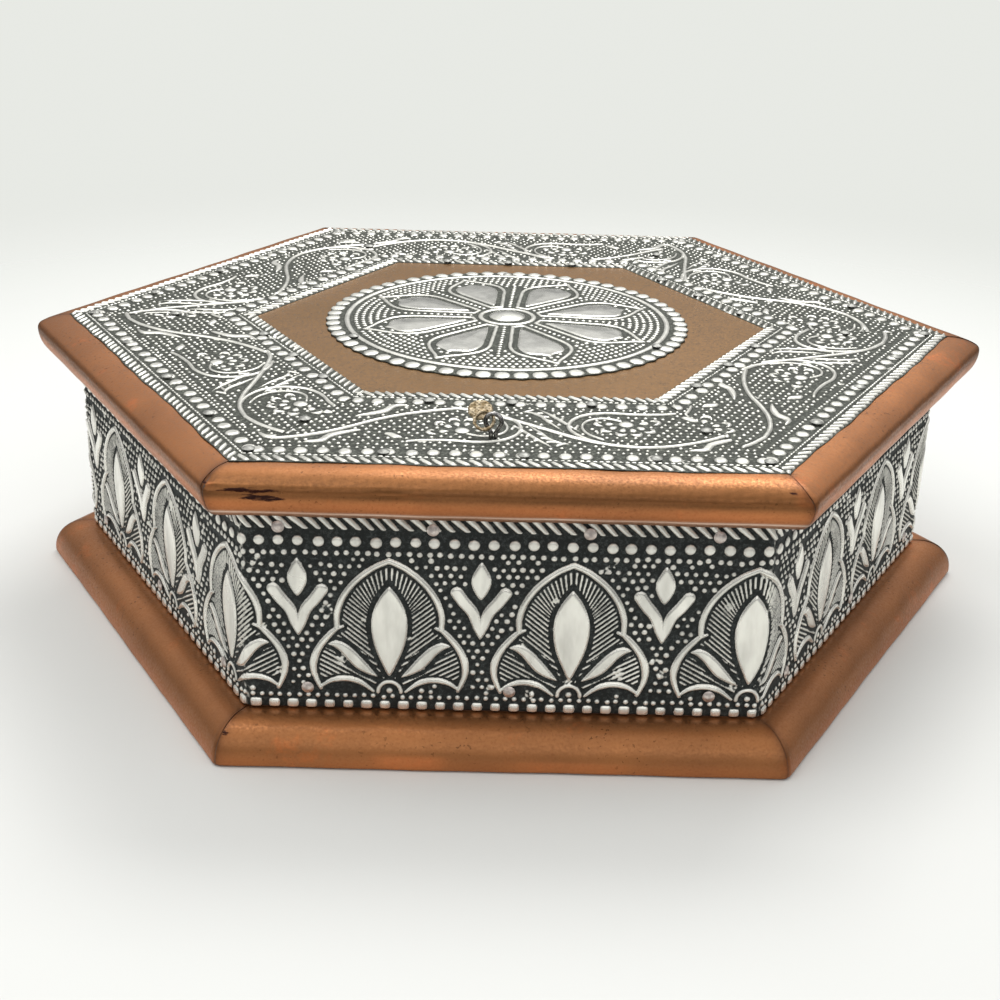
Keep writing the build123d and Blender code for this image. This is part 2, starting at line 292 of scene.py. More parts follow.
def embossed_metal(name, hollow, raised, worn, metal):
    """White metal: polished where it stands up and dark in its hollows.

    Worn is how unevenly it is polished, and metal is how metallic its raised parts are.
    """
    material, tree, shader = new_material(name)
    relief = tree.attribute("relief")
    polish = tree.attribute("polish")
    fine = tree.noise(1400, 3.0)
    broad = tree.noise(60, 3.0)
    lift = relief
    for noise, strength in ((fine, 0.35), (broad, worn)):
        uneven = tree.math("MULTIPLY", tree.math("SUBTRACT", noise, 0.5), strength)
        lift = tree.math("ADD", lift, uneven)
    lift = tree.math("ADD", lift, tree.math("MULTIPLY", polish, 0.3))
    lift = tree.math("ADD", lift, tree.attribute("wear"))
    clean = tree.map_range(lift, 0.2, 0.6)
    grit = tree.map_range(tree.noise(1300, 5.0, 0.75), 0.45, 0.72)
    ground = tree.mix(grit, hollow, tuple(GRIT * channel for channel in hollow))
    smear = tree.map_range(tree.noise(240, 3.0, 0.6, stretch=(1.0, 1.0, 0.3)), 0.3, 0.75, 1.0, 0.72)
    face = tree.mix(smear, (0, 0, 0), raised)
    tree.feed(shader.inputs["Base Color"], tree.mix(clean, ground, face))
    tree.feed(shader.inputs["Metallic"], tree.mix_number(clean, 0.55, metal))
    dull = tree.mix_number(clean, 0.6, 0.34)
    streaks = tree.math("MULTIPLY", broad, 0.12)
    rough = tree.math("ADD", tree.math("SUBTRACT", dull, tree.math("MULTIPLY", polish, 0.14)), streaks)
    tree.feed(shader.inputs["Roughness"], rough)
    tree.feed(shader.inputs["Normal"], tree.bump(fine, 0.00004, 0.5))
    return material


def copper_metal(name, warm, brown, gloss, coat, specks):
    """Softly polished copper with brown patina; its marks come from vertex values, and some of them are
    painted light: a highlight, dark reflections and light on the lower curves.

    Gloss is its least roughness, coat the weight of its clear coat, and specks how much it is flecked.
    """
    material, tree, shader = new_material(name)
    broad = tree.noise(28, 5.0)
    streaks = tree.noise(60, 4.0, stretch=(0.35, 0.35, 2.5))
    fine = tree.noise(900, 3.0)
    share = tree.map_range(tree.math("ADD", broad, tree.math("MULTIPLY", streaks, 0.5)), 0.5, 1.0)
    colour = tree.mix(share, warm, brown)
    fleck = tree.map_range(tree.noise(1100, 1.0), 0.75 - specks, 0.77 - specks)
    fleck = tree.math("MULTIPLY", fleck, tree.map_range(tree.noise(45, 3.0), 0.45, 0.6, 0.1, 0.7))
    colour = tree.mix(fleck, colour, COPPER_FLECK)
    glow = tree.map_range(tree.noise(75, 5.0, 0.7), 0.56, 0.72)
    colour = tree.mix(tree.math("MULTIPLY", glow, 6 * specks), colour, COPPER_GLOW)
    # Stains, dark seams and rubbed wear from vertex values, with painted highlights, painted dark reflections
    # and painted light among them
    for mark, mark_colour in PATINA_AND_PAINTED_LIGHT.items():
        colour = tree.mix(tree.attribute(mark), colour, mark_colour)
    scratch = tree.noise(900, 4.0, 0.65, stretch=(0.22, 0.22, 1.5))
    stain = tree.math("ADD", tree.attribute("stain"), tree.math("MULTIPLY", scratch, 1.6))
    stain = tree.map_range(stain, 1.34, 1.56)
    colour = tree.mix(stain, colour, COPPER_STAIN)
    tree.feed(shader.inputs["Base Color"], colour)
    shader.inputs["Metallic"].default_value = 0.95
    shader.inputs["Coat Weight"].default_value = coat
    shader.inputs["Coat Roughness"].default_value = 0.22
    sparkle = tree.math("MULTIPLY", tree.math("SUBTRACT", tree.noise(1700, 2.0), 0.5), 0.7)
    rough = tree.math("ADD", tree.math("ADD", gloss, sparkle), tree.math("MULTIPLY", broad, 0.16))
    rough = tree.math("ADD", rough, tree.math("MULTIPLY", stain, 0.3))
    tree.feed(shader.inputs["Roughness"], rough)
    height = tree.math("ADD", tree.math("MULTIPLY", broad, 6.0), fine)
    tree.feed(shader.inputs["Normal"], tree.bump(height, 0.00006, 0.8))
    return material


def plain_metal(name, colour, dark, roughness, scale=900.0, bump=0.00004):
    """Small fittings: one colour with darker wear in it. Bump is in metres."""
    material, tree, shader = new_material(name)
    grain = tree.noise(scale, 3.0)
    share = tree.map_range(grain, 0.35, 0.7)
    tree.feed(shader.inputs["Base Color"], tree.mix(share, dark, colour))
    shader.inputs["Metallic"].default_value = 1.0
    shader.inputs["Roughness"].default_value = roughness
    tree.feed(shader.inputs["Normal"], tree.bump(grain, bump, 0.8))
    return material


def wood_material():
    """Plain dark-stained boards, seen at the hinges and underneath."""
    material, tree, shader = new_material("wood")
    grain = tree.noise(90, 6.0, 0.6, stretch=(0.08, 1.0, 1.0))
    share = tree.map_range(grain, 0.35, 0.65)
    tree.feed(shader.inputs["Base Color"], tree.mix(share, *WOOD_COLOURS))
    shader.inputs["Roughness"].default_value = 0.65
    tree.feed(shader.inputs["Normal"], tree.bump(grain, 0.0002, 0.5))
    return material


def velvet_material():
    """Short dark red pile."""
    material, tree, shader = new_material("velvet")
    pile = tree.noise(2600, 2.0)
    brushed = tree.noise(40, 3.0)
    share = tree.math("MULTIPLY", tree.math("ADD", pile, brushed), 0.5)
    tree.feed(shader.inputs["Base Color"], tree.mix(share, *VELVET_COLOURS))
    shader.inputs["Roughness"].default_value = 0.9
    shader.inputs["Sheen Weight"].default_value = 0.6
    shader.inputs["Sheen Roughness"].default_value = 0.4
    tree.feed(shader.inputs["Normal"], tree.bump(pile, 0.0002, 0.6))
    return material


# Height fields

def smooth_curve(points, closed=False, steps=7):
    """A smooth curve through a few points, as a finer polyline."""
    points = [np.array(p, float) for p in points]
    count = len(points)
    curve = []
    for i in range(count if closed else count - 1):
        if closed:
            before, here, there, after = (points[(i + k) % count] for k in (-1, 0, 1, 2))
        else:
            before, here = points[max(i - 1, 0)], points[i]
            there, after = points[i + 1], points[min(i + 2, count - 1)]
        for t in np.arange(steps) / steps:
            curve.append(0.5 * (
                2 * here + (there - before) * t
                + (2 * before - 5 * here + 4 * there - after) * t**2
                + (3 * here - before - 3 * there + after) * t**3
            ))
    curve.append(points[0] if closed else points[-1])
    return np.array(curve)


def distance_to_line(x, y, line):
    """Distance from each raster point to a polyline, and how far along it that is."""
    best = np.full(x.shape, np.inf)
    along = np.zeros(x.shape)
    count = len(line) - 1
    for i in range(count):
        (x0, y0), (x1, y1) = line[i], line[i + 1]
        dx, dy = x1 - x0, y1 - y0
        length = dx * dx + dy * dy
        t = np.clip(((x - x0) * dx + (y - y0) * dy) / max(length, 1e-9), 0, 1)
        distance = np.hypot(x - x0 - t * dx, y - y0 - t * dy)
        closer = distance < best
        best[closer] = distance[closer]
        along[closer] = (i + t[closer]) / count
    return best, along


def inside(x, y, outline):
    """True for the raster points within a closed outline."""
    within = np.zeros(x.shape, bool)
    for (x0, y0), (x1, y1) in zip(outline[:-1], outline[1:]):
        if y0 == y1:
            continue
        crosses = (y0 > y) != (y1 > y)
        within ^= crosses & (x < (x1 - x0) * (y - y0) / (y1 - y0) + x0)
    return within


def rounded(distance, half_width):
    """A round-backed ridge: 1 on its line and 0 at its half width."""
    return np.sqrt(np.clip(1 - (distance / half_width) ** 2, 0, 1))


def eased(value):
    """A soft step from 0 to 1."""
    value = np.clip(value, 0, 1)
    return value * value * (3 - 2 * value)


class Relief:
    """A height field from 0 to 1 on a raster in millimetres, with polish and wear."""

    cell = 0.16

    def __init__(self, x_span, y_span):
        self.x = np.arange(x_span[0], x_span[1] + self.cell, self.cell)
        self.y = np.arange(y_span[0], y_span[1] + self.cell, self.cell)
        self.height = np.zeros((len(self.y), len(self.x)))
        self.polish = np.zeros_like(self.height)
        self.wear = np.zeros_like(self.height)
        self.kept = np.zeros(self.height.shape, bool)

    def part(self, low, high):
        """The part of the raster between two corners: its slices and coordinates."""
        i = np.searchsorted(self.x, (low[0], high[0]))
        j = np.searchsorted(self.y, (low[1], high[1]))
        box = (slice(*j), slice(*i))
        x, y = np.meshgrid(self.x[box[1]], self.y[box[0]])
        return box, x, y

    def around(self, x, y, reach, tall=None):
        """The part of the raster round a point."""
        tall = reach if tall is None else tall
        return self.part((x - reach, y - tall), (x + reach, y + tall))

    def lift(self, box, value, polish=0.0):
        """Raises a part to a height where it is lower, and polishes what stands up."""
        self.height[box] = np.maximum(self.height[box], value)
        if polish:
            self.polish[box] = np.maximum(self.polish[box], polish * (value > 0.3))

    def dot(self, x, y, radius, height):
        """A small dome."""
        box, px, py = self.around(x, y, radius)
        self.lift(box, height * rounded(np.hypot(px - x, py - y), radius))

    def bead(self, x, y, radius, height, stretch=1.0):
        """A flat-topped dome, stretched along the second axis."""
        box, px, py = self.around(x, y, radius, radius * stretch)
        share = np.hypot(px - x, (py - y) / stretch) / radius
        self.lift(box, height * (0.9 * eased((1 - share) / 0.4) + 0.1 * (1 - share**2)))

    def stroke(self, line, width, height=0.8, taper=0.0):
        """A raised line. Taper is how much it thins towards both ends."""
        line = np.asarray(line, float)
        low, high = line.min(0) - width, line.max(0) + width
        box, x, y = self.part(low, high)
        if x.size == 0:
            return
        distance, along = distance_to_line(x, y, line)
        half = width / 2 * (1 - taper * np.abs(2 * along - 1) ** 2)
        self.lift(box, height * rounded(distance, np.maximum(half, 0.12)))

    def patch(self, outline, height=0.9, edge=0.9, polish=1.0):
        """A filled shape with a soft edge and a gently domed top."""
        low, high = outline.min(0) - 0.5, outline.max(0) + 0.5
        box, x, y = self.part(low, high)
        if x.size == 0:
            return
        distance, _ = distance_to_line(x, y, outline)
        deep = np.where(inside(x, y, outline), distance, 0)
        value = height * (0.86 * eased(deep / edge) + 0.14 * eased(deep / 3.0))
        self.lift(box, value, polish)

    def keep_clear(self, x, y, radius):
        """Marks a round place where no dots go."""
        box, px, py = self.around(x, y, radius)
        self.kept[box] |= np.hypot(px - x, py - y) < radius

    def free(self, x, y, radius, below=0.22):
        """True if nothing is drawn yet round a point."""
        box, px, py = self.around(x, y, radius)
        near = np.hypot(px - x, py - y) < radius
        if not near.any() or self.kept[box][near].any():
            return False
        return self.height[box][near].max() < below

    def dots_between(self, x_span, y_span, pitch, radius, height, margin=0.35):
        """Rows of dots wherever nothing is drawn yet."""
        places = []
        rows = np.arange(y_span[0], y_span[1], pitch * 0.87)
        for number, y in enumerate(rows):
            start = x_span[0] + (number % 2) * pitch / 2
            for x in np.arange(start, x_span[1], pitch):
                sx, sy = random.normal(0, 0.06 * pitch, 2)
                if self.free(x + sx, y + sy, radius + margin):
                    places.append((x + sx, y + sy))
        for x, y in places:
            size = radius * random.uniform(0.85, 1.12)
            self.dot(x, y, size, height * random.uniform(0.75, 1.1))

    def sample(self, x, y):
        """Height, polish and wear at any points, between the raster's own."""
        i = np.clip((x - self.x[0]) / self.cell, 0, len(self.x) - 1.001)
        j = np.clip((y - self.y[0]) / self.cell, 0, len(self.y) - 1.001)
        i0, j0 = i.astype(int), j.astype(int)
        fi, fj = i - i0, j - j0
        result = []
        for layer in (self.height, self.polish, self.wear):
            lower = layer[j0, i0] * (1 - fi) + layer[j0, i0 + 1] * fi
            upper = layer[j0 + 1, i0] * (1 - fi) + layer[j0 + 1, i0 + 1] * fi
            result.append(lower * (1 - fj) + upper * fj)
        return result


# Meshes

def add_mesh(name, points, faces, values, material, body):
    """An object from points in millimetres, with one value per point for each name."""
    mesh = bpy.data.meshes.new(name)
    mesh.from_pydata((np.asarray(points) * MM).tolist(), [], faces)
    for key, numbers in values.items():
        layer = mesh.attributes.new(key, "FLOAT", "POINT")
        layer.data.foreach_set("value", np.asarray(numbers, np.float32))
    mesh.polygons.foreach_set("use_smooth", [True] * len(mesh.polygons))
    mesh.materials.append(material)
    shape = bpy.data.objects.new(name, mesh)
    bpy.context.scene.collection.objects.link(shape)
    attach(shape, body)
    return shape


def grid_faces(rows, columns, start=0, closed_rows=False):
    """Quads over a grid whose points run along the columns first."""
    last = rows if closed_rows else rows - 1
    i, j = np.meshgrid(np.arange(last), np.arange(columns - 1), indexing="ij")
    here = start + i * columns + j
    there = start + ((i + 1) % rows) * columns + j
    return np.stack([here, here + 1, there + 1, there], -1).reshape(-1, 4).tolist()


def sheet_mesh(front, back_low, back_high):
    """A closed sheet: a fine front and a plain back ruled between two lines.

    The front is a grid from its lower row to its upper row, seen from outside
    with its columns running to the right.
    """
    rows, columns, _ = front.shape
    points = np.concatenate([front.reshape(-1, 3), back_low, back_high])
    faces = grid_faces(rows, columns)
    low = rows * columns
    high = low + columns
    top = (rows - 1) * columns
    for j in range(columns - 1):
        faces.append([low + j, low + j + 1, j + 1, j])
        faces.append([top + j, top + j + 1, high + j + 1, high + j])
        faces.append([high + j, high + j + 1, low + j + 1, low + j])
    left = [i * columns for i in range(rows)]
    right = [i * columns + columns - 1 for i in range(rows)]
    faces.append([low] + left + [high])
    faces.append([high + columns - 1] + right[::-1] + [low + columns - 1])
    return points, faces


def surface_values(height, polish, wear, plain_count):
    """The looks of an embossed surface, with none on the plain points that follow it."""
    plain = np.zeros(plain_count)
    layers = {"relief": height, "polish": polish, "wear": wear}
    return {name: np.concatenate([layer.ravel(), plain]) for name, layer in layers.items()}


def turned(points, side):
    """Points of the front turned to another side."""
    angle = side * math.pi / 3
    c, s = math.cos(angle), math.sin(angle)
    turned_points = points.copy()
    turned_points[..., 0] = c * points[..., 0] - s * points[..., 1]
    turned_points[..., 1] = s * points[..., 0] + c * points[..., 1]
    return turned_points


def box_mm(node):
    """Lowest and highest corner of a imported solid, in millimetres."""
    low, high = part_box(node)
    return np.array(low) / MM, np.array(high) / MM


# Embossed wall band

PALMETTE_PITCH = 39.3
PALMETTE_START = -25.0
BAND_CORNER = 3.0
BAND_DEPTH = 0.68
BAND_BACK = 0.79
BAND_STEP = 0.25
BAND_DRAWING_LOW = 12.1  # the drawing's height at the band's lower edge
BAND_DRAWING_HIGH = 61.5


# Half outlines of a palmette and a bud: sideways from the middle, and the drawing's height
ARCH = [(0, 48.1), (3.4, 46.4), (7.2, 43.2), (9.9, 39.4), (11.2, 35.6), (11.3, 32.2)]
LOBE = [(10.0, 32.3), (11.9, 31.3), (14.9, 27.6), (16.4, 24.0), (16.4, 20.6), (15.0, 16.9)]
FOOT = [(15.1, 17.2), (12.9, 18.8), (9.8, 19.5), (6.5, 18.7), (3.5, 16.4)]
FOOT_MIDDLE = (0, 17.2)
LEAF = [(0, 42.6), (2.0, 40.0), (3.6, 36.6), (4.2, 32.8), (3.6, 28.0), (2.0, 23.6), (0, 20.0)]
SIDE_LEAF = [
    (2.1, 19.8), (4.0, 22.5), (5.9, 24.9), (8.0, 27.2), (10.1, 28.7), (11.9, 29.0), (13.6, 27.9),
    (12.0, 26.9), (10.5, 25.6), (9.2, 23.9), (7.5, 22.0), (5.2, 20.6), (3.2, 19.9),
]
BUD = [(0, 48.9), (1.3, 46.9), (2.3, 44.4), (2.0, 41.9), (0, 39.1)]
BUD_ARM = ((5.2, 41.0), (3.7, 38.8), (1.75, 36.3), (0.85, 33.4), (0.0, 30.0))
BUD_CLEAR = (39.0, 2.8)  # height and radius of the space round a bud

# Widths of the raised lines: the share along a line, and the width there
ARCH_WIDTHS = ((0, 1.7), (0.8, 1.75), (1, 1.5))
LOBE_WIDTHS = ((0, 1.0), (0.25, 1.7), (0.6, 2.1), (1, 1.2))
FOOT_WIDTHS = ((0, 0.9), (0.4, 1.8), (0.7, 1.8), (1, 0.9))
ARM_WIDTHS = ((0, 3.1), (0.3, 3.1), (0.55, 2.9), (0.8, 2.3), (1.0, 0.7))

# The ring at a palmette's foot
RING_HEIGHT = 16.3
RING_RADII = (2.5, 2.6)
RING_CLEAR = 3.6

# Hatching in a palmette
HATCH_HEIGHT = 0.75
HATCH_SHARE = 0.26
HATCH_MARGIN = 1.25  # from the outline
UPPER_PITCH = 1.22
UPPER_SLOPE = 0.84
FAN_HEIGHT = 31.5  # above it the lines fan out
FAN_REACH = 15.0
LOWER_PITCH = 1.2
LOWER_SLOPE = 0.57

# Rows of the band, as heights in the drawing
BEAD_ROW = 52.4
BEAD_RADII = (1.36, 1.5)
SQUARE_ROW = 13.05
SQUARE_HALF_SIZE = (1.4, 1.25)
SMALL_DOT_ROWS = ((49.7, 0.72, 2.2), (15.2, 0.62, 2.05))  # height, radius and pitch
DOT_FIELD = (16.4, 49.2)
ROPE_ROW = (55.0, 61.2)
ROPE_HEIGHT = 0.92
WALL_ROPE = {"pitch": 2.85, "lean": -0.95, "gap": 0.3}
CORNER_WEAR = 0.45


def both_sides(points):
    """A right-hand half outline, from its top to its foot, joined to its mirror image."""
    left = [(-x, y) for x, y in reversed(points)]
    return points + (left if points[-1][0] > 0.01 else left[1:])


def draw_palmette(relief, middle):
    """Pointed arch over two lobes, with a centre leaf, two side leaves and hatching."""
    def moved(points):
        return np.array(points, float) + (middle, 0)

    def mirrored(points):
        return np.array([(-x, y) for x, y in points]) + (middle, 0)

    arch, lobe, foot = smooth_curve(ARCH), smooth_curve(LOBE), smooth_curve(FOOT)
    outline = np.vstack([arch, lobe[2:], foot[1:], [FOOT_MIDDLE]])
    outline = np.vstack([outline, [(-x, y) for x, y in outline[::-1]]]) + (middle, 0)
    leaves = [(smooth_curve(moved(both_sides(LEAF)), True), 0.8)]
    leaves += [(smooth_curve(side(SIDE_LEAF), True), 0.7) for side in (moved, mirrored)]
    draw_hatching(relief, middle, outline, leaves)
    for shape, _ in leaves:
        relief.patch(shape, 0.97, 0.75)
    for side in (moved, mirrored):
        draw_limb(relief, side(arch), ARCH_WIDTHS)
        draw_limb(relief, side(lobe), LOBE_WIDTHS)
        draw_limb(relief, side(foot), FOOT_WIDTHS)
    turn = np.linspace(0, math.pi, 15)
    wide, tall = RING_RADII
    ring = np.stack([wide * np.cos(turn), RING_HEIGHT + tall * np.sin(turn)], -1) + (middle, 0)
    relief.stroke(ring, 0.95, 0.85)
    relief.dot(middle, RING_HEIGHT + 0.4, 0.8, 0.75)


def draw_hatching(relief, middle, outline, leaves):
    """Fine lines inside an outline, clear of the leaves, each given with its margin.

    Beyond the leaves' tops the lines rise outwards and then fan out; below, they are flatter.
    """
    box, x, y = relief.part((middle - 19, 15.5), (middle + 19, 49))
    distance, _ = distance_to_line(x, y, outline)
    reach = np.abs(x - middle)
    level = y - UPPER_SLOPE * reach
    angle = np.arctan2(y - FAN_HEIGHT, np.maximum(reach, 1e-6))
    fan = FAN_HEIGHT + (angle - math.atan(UPPER_SLOPE)) * FAN_REACH
    upper = np.where(level < FAN_HEIGHT, level, fan)
    lower = y - LOWER_SLOPE * reach
    leaf_top = 20.2 + 1.02 * reach - 0.022 * reach**2
    hatch = np.where(y > leaf_top + 0.9, upper / UPPER_PITCH, lower / LOWER_PITCH)
    lines = HATCH_HEIGHT * rounded(np.abs(hatch - np.round(hatch)), HATCH_SHARE)
    shown = inside(x, y, outline) & (distance > HATCH_MARGIN)
    relief.lift(box, np.where(shown, lines, 0))
    cleared = np.hypot(x - middle, y - RING_HEIGHT) < RING_CLEAR
    for shape, margin in leaves:
        gap, _ = distance_to_line(x, y, shape)
        cleared |= (gap < margin) | inside(x, y, shape)
    relief.height[box] = np.where(cleared, 0, relief.height[box])


def draw_bud(relief, middle):
    """A pointed bud over a V with round ends."""
    relief.patch(smooth_curve(np.array(both_sides(BUD)) + (middle, 0), True), 0.97, 0.7)
    for side in (-1, 1):
        arm = [(side * x, y) for x, y in BUD_ARM]
        draw_limb(relief, smooth_curve(arm) + (middle, 0), ARM_WIDTHS)
    height, radius = BUD_CLEAR
    relief.keep_clear(middle, height, radius)


def draw_limb(relief, line, widths, height=0.95, polish=1.0):
    """A flat-topped stroke whose width follows (share along it, width) pairs."""
    line = np.asarray(line, float)
    widest = max(w for _, w in widths)
    box, x, y = relief.part(line.min(0) - widest, line.max(0) + widest)
    if x.size == 0:
        return
    distance, along = distance_to_line(x, y, line)
    half = np.interp(along, *zip(*widths)) / 2
    relief.lift(box, height * eased((half - distance) / 0.6), polish)


def wall_relief(perimeter):
    """The whole band, laid out flat: along it from the front's middle, and height."""
    half = perimeter / 2
    relief = Relief((-half - 2, half + 2), (BAND_DRAWING_LOW - 1, BAND_DRAWING_HIGH))
    count = int(half // PALMETTE_PITCH) + 2
    for k in range(-count, count + 1):
        middle = PALMETTE_START + k * PALMETTE_PITCH
        if abs(middle) < half + PALMETTE_PITCH / 2:
            draw_palmette(relief, middle)
        if abs(middle + PALMETTE_PITCH / 2) < half + 6:
            draw_bud(relief, middle + PALMETTE_PITCH / 2)
    span = (-half - 1, half + 1)
    for x in np.arange(*span, PALMETTE_PITCH / 9.5):
        place = (x + random.normal(0, 0.14), BEAD_ROW + random.normal(0, 0.12))
        relief.bead(*place, random.uniform(*BEAD_RADII), 0.95)
    for x in np.arange(*span, PALMETTE_PITCH / 9.7):
        size = random.uniform(0.9, 1.05)
        wide, tall = SQUARE_HALF_SIZE
        relief.patch(rounded_square(x, SQUARE_ROW, wide * size, tall * size), 0.95, 0.5)
    for y, radius, pitch in SMALL_DOT_ROWS:
        for x in np.arange(*span, pitch):
            if relief.free(x, y, radius):
                relief.dot(x + random.normal(0, 0.12), y + random.normal(0, 0.1), radius, 0.85)
    relief.dots_between(span, DOT_FIELD, pitch=2.05, radius=0.65, height=0.85, margin=0.14)
    for x in np.arange(*span, 4.1):
        worn_patch(relief, x + random.uniform(-2, 2), random.uniform(16, 50), random.uniform(0.9, 2.6))
    draw_rope(relief, span, ROPE_ROW, **WALL_ROPE)
    return relief


def worn_patch(relief, x, y, size):
    """A small irregular spot where the dark finish is rubbed off the ground."""
    box, px, py = relief.around(x, y, size)
    if px.size == 0:
        return
    turn = np.arctan2(py - y, px - x)
    ragged = 0.75 + 0.25 * np.sin(2 * turn + x) * np.sin(3 * turn + y)
    spot = 1 - np.hypot(px - x, py - y) / (size * ragged)
    grain = np.sin(px * 3.1 + 1.7 * np.sin(py * 2.3 + x)) * np.sin(py * 2.7 + 1.9 * np.sin(px * 1.9 + y))
    relief.wear[box] = np.maximum(relief.wear[box], eased(spot * 2) * np.clip(0.3 + 0.45 * grain, 0, 1))


def rounded_square(x, y, half_width, half_height):
    """A closed outline near to a square."""
    turn = np.linspace(0, 2 * math.pi, 17)
    c, s = np.cos(turn), np.sin(turn)
    square = np.stack([np.sign(c) * np.abs(c) ** 0.6, np.sign(s) * np.abs(s) ** 0.6], -1)
    return square * (half_width, half_height) + (x, y)


def draw_rope(relief, x_span, y_span, pitch, lean, gap):
    """Slanting leaf-like strokes along a row."""
    box, x, y = relief.part((x_span[0], y_span[0]), (x_span[1], y_span[1]))
    middle = sum(y_span) / 2
    half = (y_span[1] - y_span[0]) / 2
    across = (y - middle) / half
    sway = 0.25 * np.sin(x * 0.21) + 0.2 * np.sin(x * 0.53 + 1.7)
    phase = (x + sway - lean * (y - middle)) / pitch
    wave = np.abs(phase - np.round(phase)) * 2
    bulge = 1 - 0.4 * across**2
    value = ROPE_HEIGHT * rounded(wave, np.maximum((1 - gap) * bulge, 0.05))
    relief.lift(box, value * eased((1 - np.abs(across)) / 0.12))


def band_side(relief, side, face, low, high, material, node_group):
    """One wall's part of the band, from the middle of one corner to the next."""
    straight = (face - BAND_CORNER) * TAN_HALF
    reach = straight + BAND_CORNER * HALF_SIDE
    columns = int(2 * reach / BAND_STEP)
    rows = int((high - low) / BAND_STEP)
    along = np.linspace(-reach, reach, columns)
    up = np.linspace(low, high, rows)
    s, z = np.meshgrid(along, up)
    perimeter = 12 * reach
    total = (s + 2 * reach * side + perimeter / 2) % perimeter - perimeter / 2
    height, polish, wear = relief.sample(total, z - low + BAND_DRAWING_LOW)
    ripple = 0.05 * np.sin(total * 0.11 + z * 0.2) + 0.04 * np.sin(total * 0.37 - z * 0.13)
    height = np.clip(height * (0.95 + ripple), 0, 1)
    patchy = 0.5 + 0.5 * np.sin(z * 1.9 + side) * np.sin(z * 0.71 + s * 2.3)
    wear = wear + CORNER_WEAR * patchy * eased((np.abs(s) - straight + 1.5) / 3)

    def place(columns_s, depth):
        flat = np.clip(columns_s, -straight, straight)
        angle = np.sign(columns_s) * np.clip((np.abs(columns_s) - straight) / BAND_CORNER, 0, None)
        radius = BAND_CORNER - depth
        return flat + radius * np.sin(angle), BAND_CORNER - face - radius * np.cos(angle)

    x, y = place(s, BAND_DEPTH * (1 - height))
    front = np.stack([x, y, z], -1)
    back_x, back_y = place(along, BAND_BACK)
    back_low = np.stack([back_x, back_y, np.full(columns, low)], -1)
    back_high = np.stack([back_x, back_y, np.full(columns, high)], -1)
    points, faces = sheet_mesh(front, back_low, back_high)
    values = surface_values(height, polish, wear, 2 * columns)
    shape = add_mesh(f"embossed_wall_{SIDES[side]}", turned(points, side), faces, values,
                     material, "base")
    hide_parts(node_group)


def add_wall_band(material):
    """The embossed band on all six walls, drawn once as one long sheet."""
    low, high = box_mm("band_front")
    face = -low[1]
    reach = (face - BAND_CORNER) * TAN_HALF + BAND_CORNER * HALF_SIDE
    relief = wall_relief(12 * reach)
    for side in range(6):
        group = "band_front" if SIDES[side].startswith("front") else "band_rear"
        band_side(relief, side, face, low[2], high[2], material, group)


# Embossed lid strips

VINE_PERIOD = 81.67
STRIP_CREST = {"front": -12.8, "front_left": -5.3, "front_right": -0.3,
               "back_right": 9.0, "back": -20.0, "back_left": 14.0}
STRIP_STEP = 0.23
STRIP_RELIEF = 0.6
STRIP_GROUND = 0.08
BORDER_INSETS = {"dash": 4.0, "bead": 6.5, "dots": 9.0}
STRIP_REACH = 62.0  # half the length that is drawn
STRIP_MITRE_GAP = 0.08
BORDER_ROPE = (0.3, 3.1)  # from the strip's edge
STRIP_ROPE = {"pitch": 2.5, "lean": 0.8, "gap": 0.45}
STRIP_BEAD_RADII = (1.58, 1.78)
WINDOW_SHIFT_X = 0.3

# The scroll vine is drawn in finer units than millimetres, from a strip's inner edge
VINE_SCALE = 12
VINE_CREST = 590
VINE_CENTRE = 20.75
VINE_MIDDLE = 76.7
VINE_TURN = 20.42  # along the strip, of the point that the vine turns about


def vine_point(px, py):
    """From the drawing units of the scroll to millimetres from its crest and centre."""
    return ((px - VINE_CREST) / VINE_SCALE, py / VINE_SCALE - VINE_CENTRE)


def vine_line(points):
    """A smooth curve in millimetres through points in drawing units."""
    return smooth_curve([vine_point(*p) for p in points])


RISING = [(100, 372), (160, 352), (230, 320), (300, 275), (370, 215), (440, 165), (520, 130), (590, 118)]
FALLING = [(590, 118), (640, 130), (700, 165), (760, 205), (840, 265), (920, 325), (1000, 365), (1080, 380)]
OUTER_CURL = [(1190, 122), (1150, 132), (1080, 136), (1010, 130), (950, 146), (912, 185), (898, 235),
              (908, 280), (940, 325), (985, 358)]
INNER_CURL = [(985, 330), (950, 295), (934, 250), (940, 208), (965, 180), (1000, 172), (1038, 188)]
FLOWER = (1051, 211)
PETALS = ((12, 6.9), (-38, 6.6), (-72, 6.6), (-104, 6.6), (-140, 6.4), (-178, 6.2))  # degrees, reach
PETAL_DROP = [(2.6, 0), (3.3, 0.6), (4.1, 0.95), (4.8, 0.7), (5.1, 0), (4.8, -0.7), (4.1, -0.95), (3.3, -0.6)]
PETAL_CAP = [(5.6, -1.2), (6.4, -1.05), (6.9, -0.6), (7.1, 0), (6.9, 0.6), (6.4, 1.05), (5.6, 1.2)]
PETAL_REACH = 6.6
CAP_WIDTHS = ((0, 0.7), (0.3, 1.3), (0.5, 1.9), (0.7, 1.3), (1, 0.7))
SLUG_WIDTHS = ((0, 0.8), (0.3, 2.3), (0.7, 2.1), (1, 0.8))
SPINE_WIDTHS = ((0, 0.5), (0.3, 1.4), (0.6, 1.3), (1, 0.4))
TOOTH_PLACES = (0.12, 0.27, 0.42, 0.57)
SLUGS = (
    [(1200, 392), (1240, 384), (1262, 345), (1300, 318), (1336, 300)],
    [(1204, 150), (1220, 156), (1234, 170), (1250, 176)],
)
SERRATED = (
    ([(770, 132), (800, 140), (826, 165), (845, 205), (868, 245), (886, 276)], 1),
    ([(742, 224), (768, 262), (790, 300), (815, 340), (840, 375), (858, 398)], -1),
)


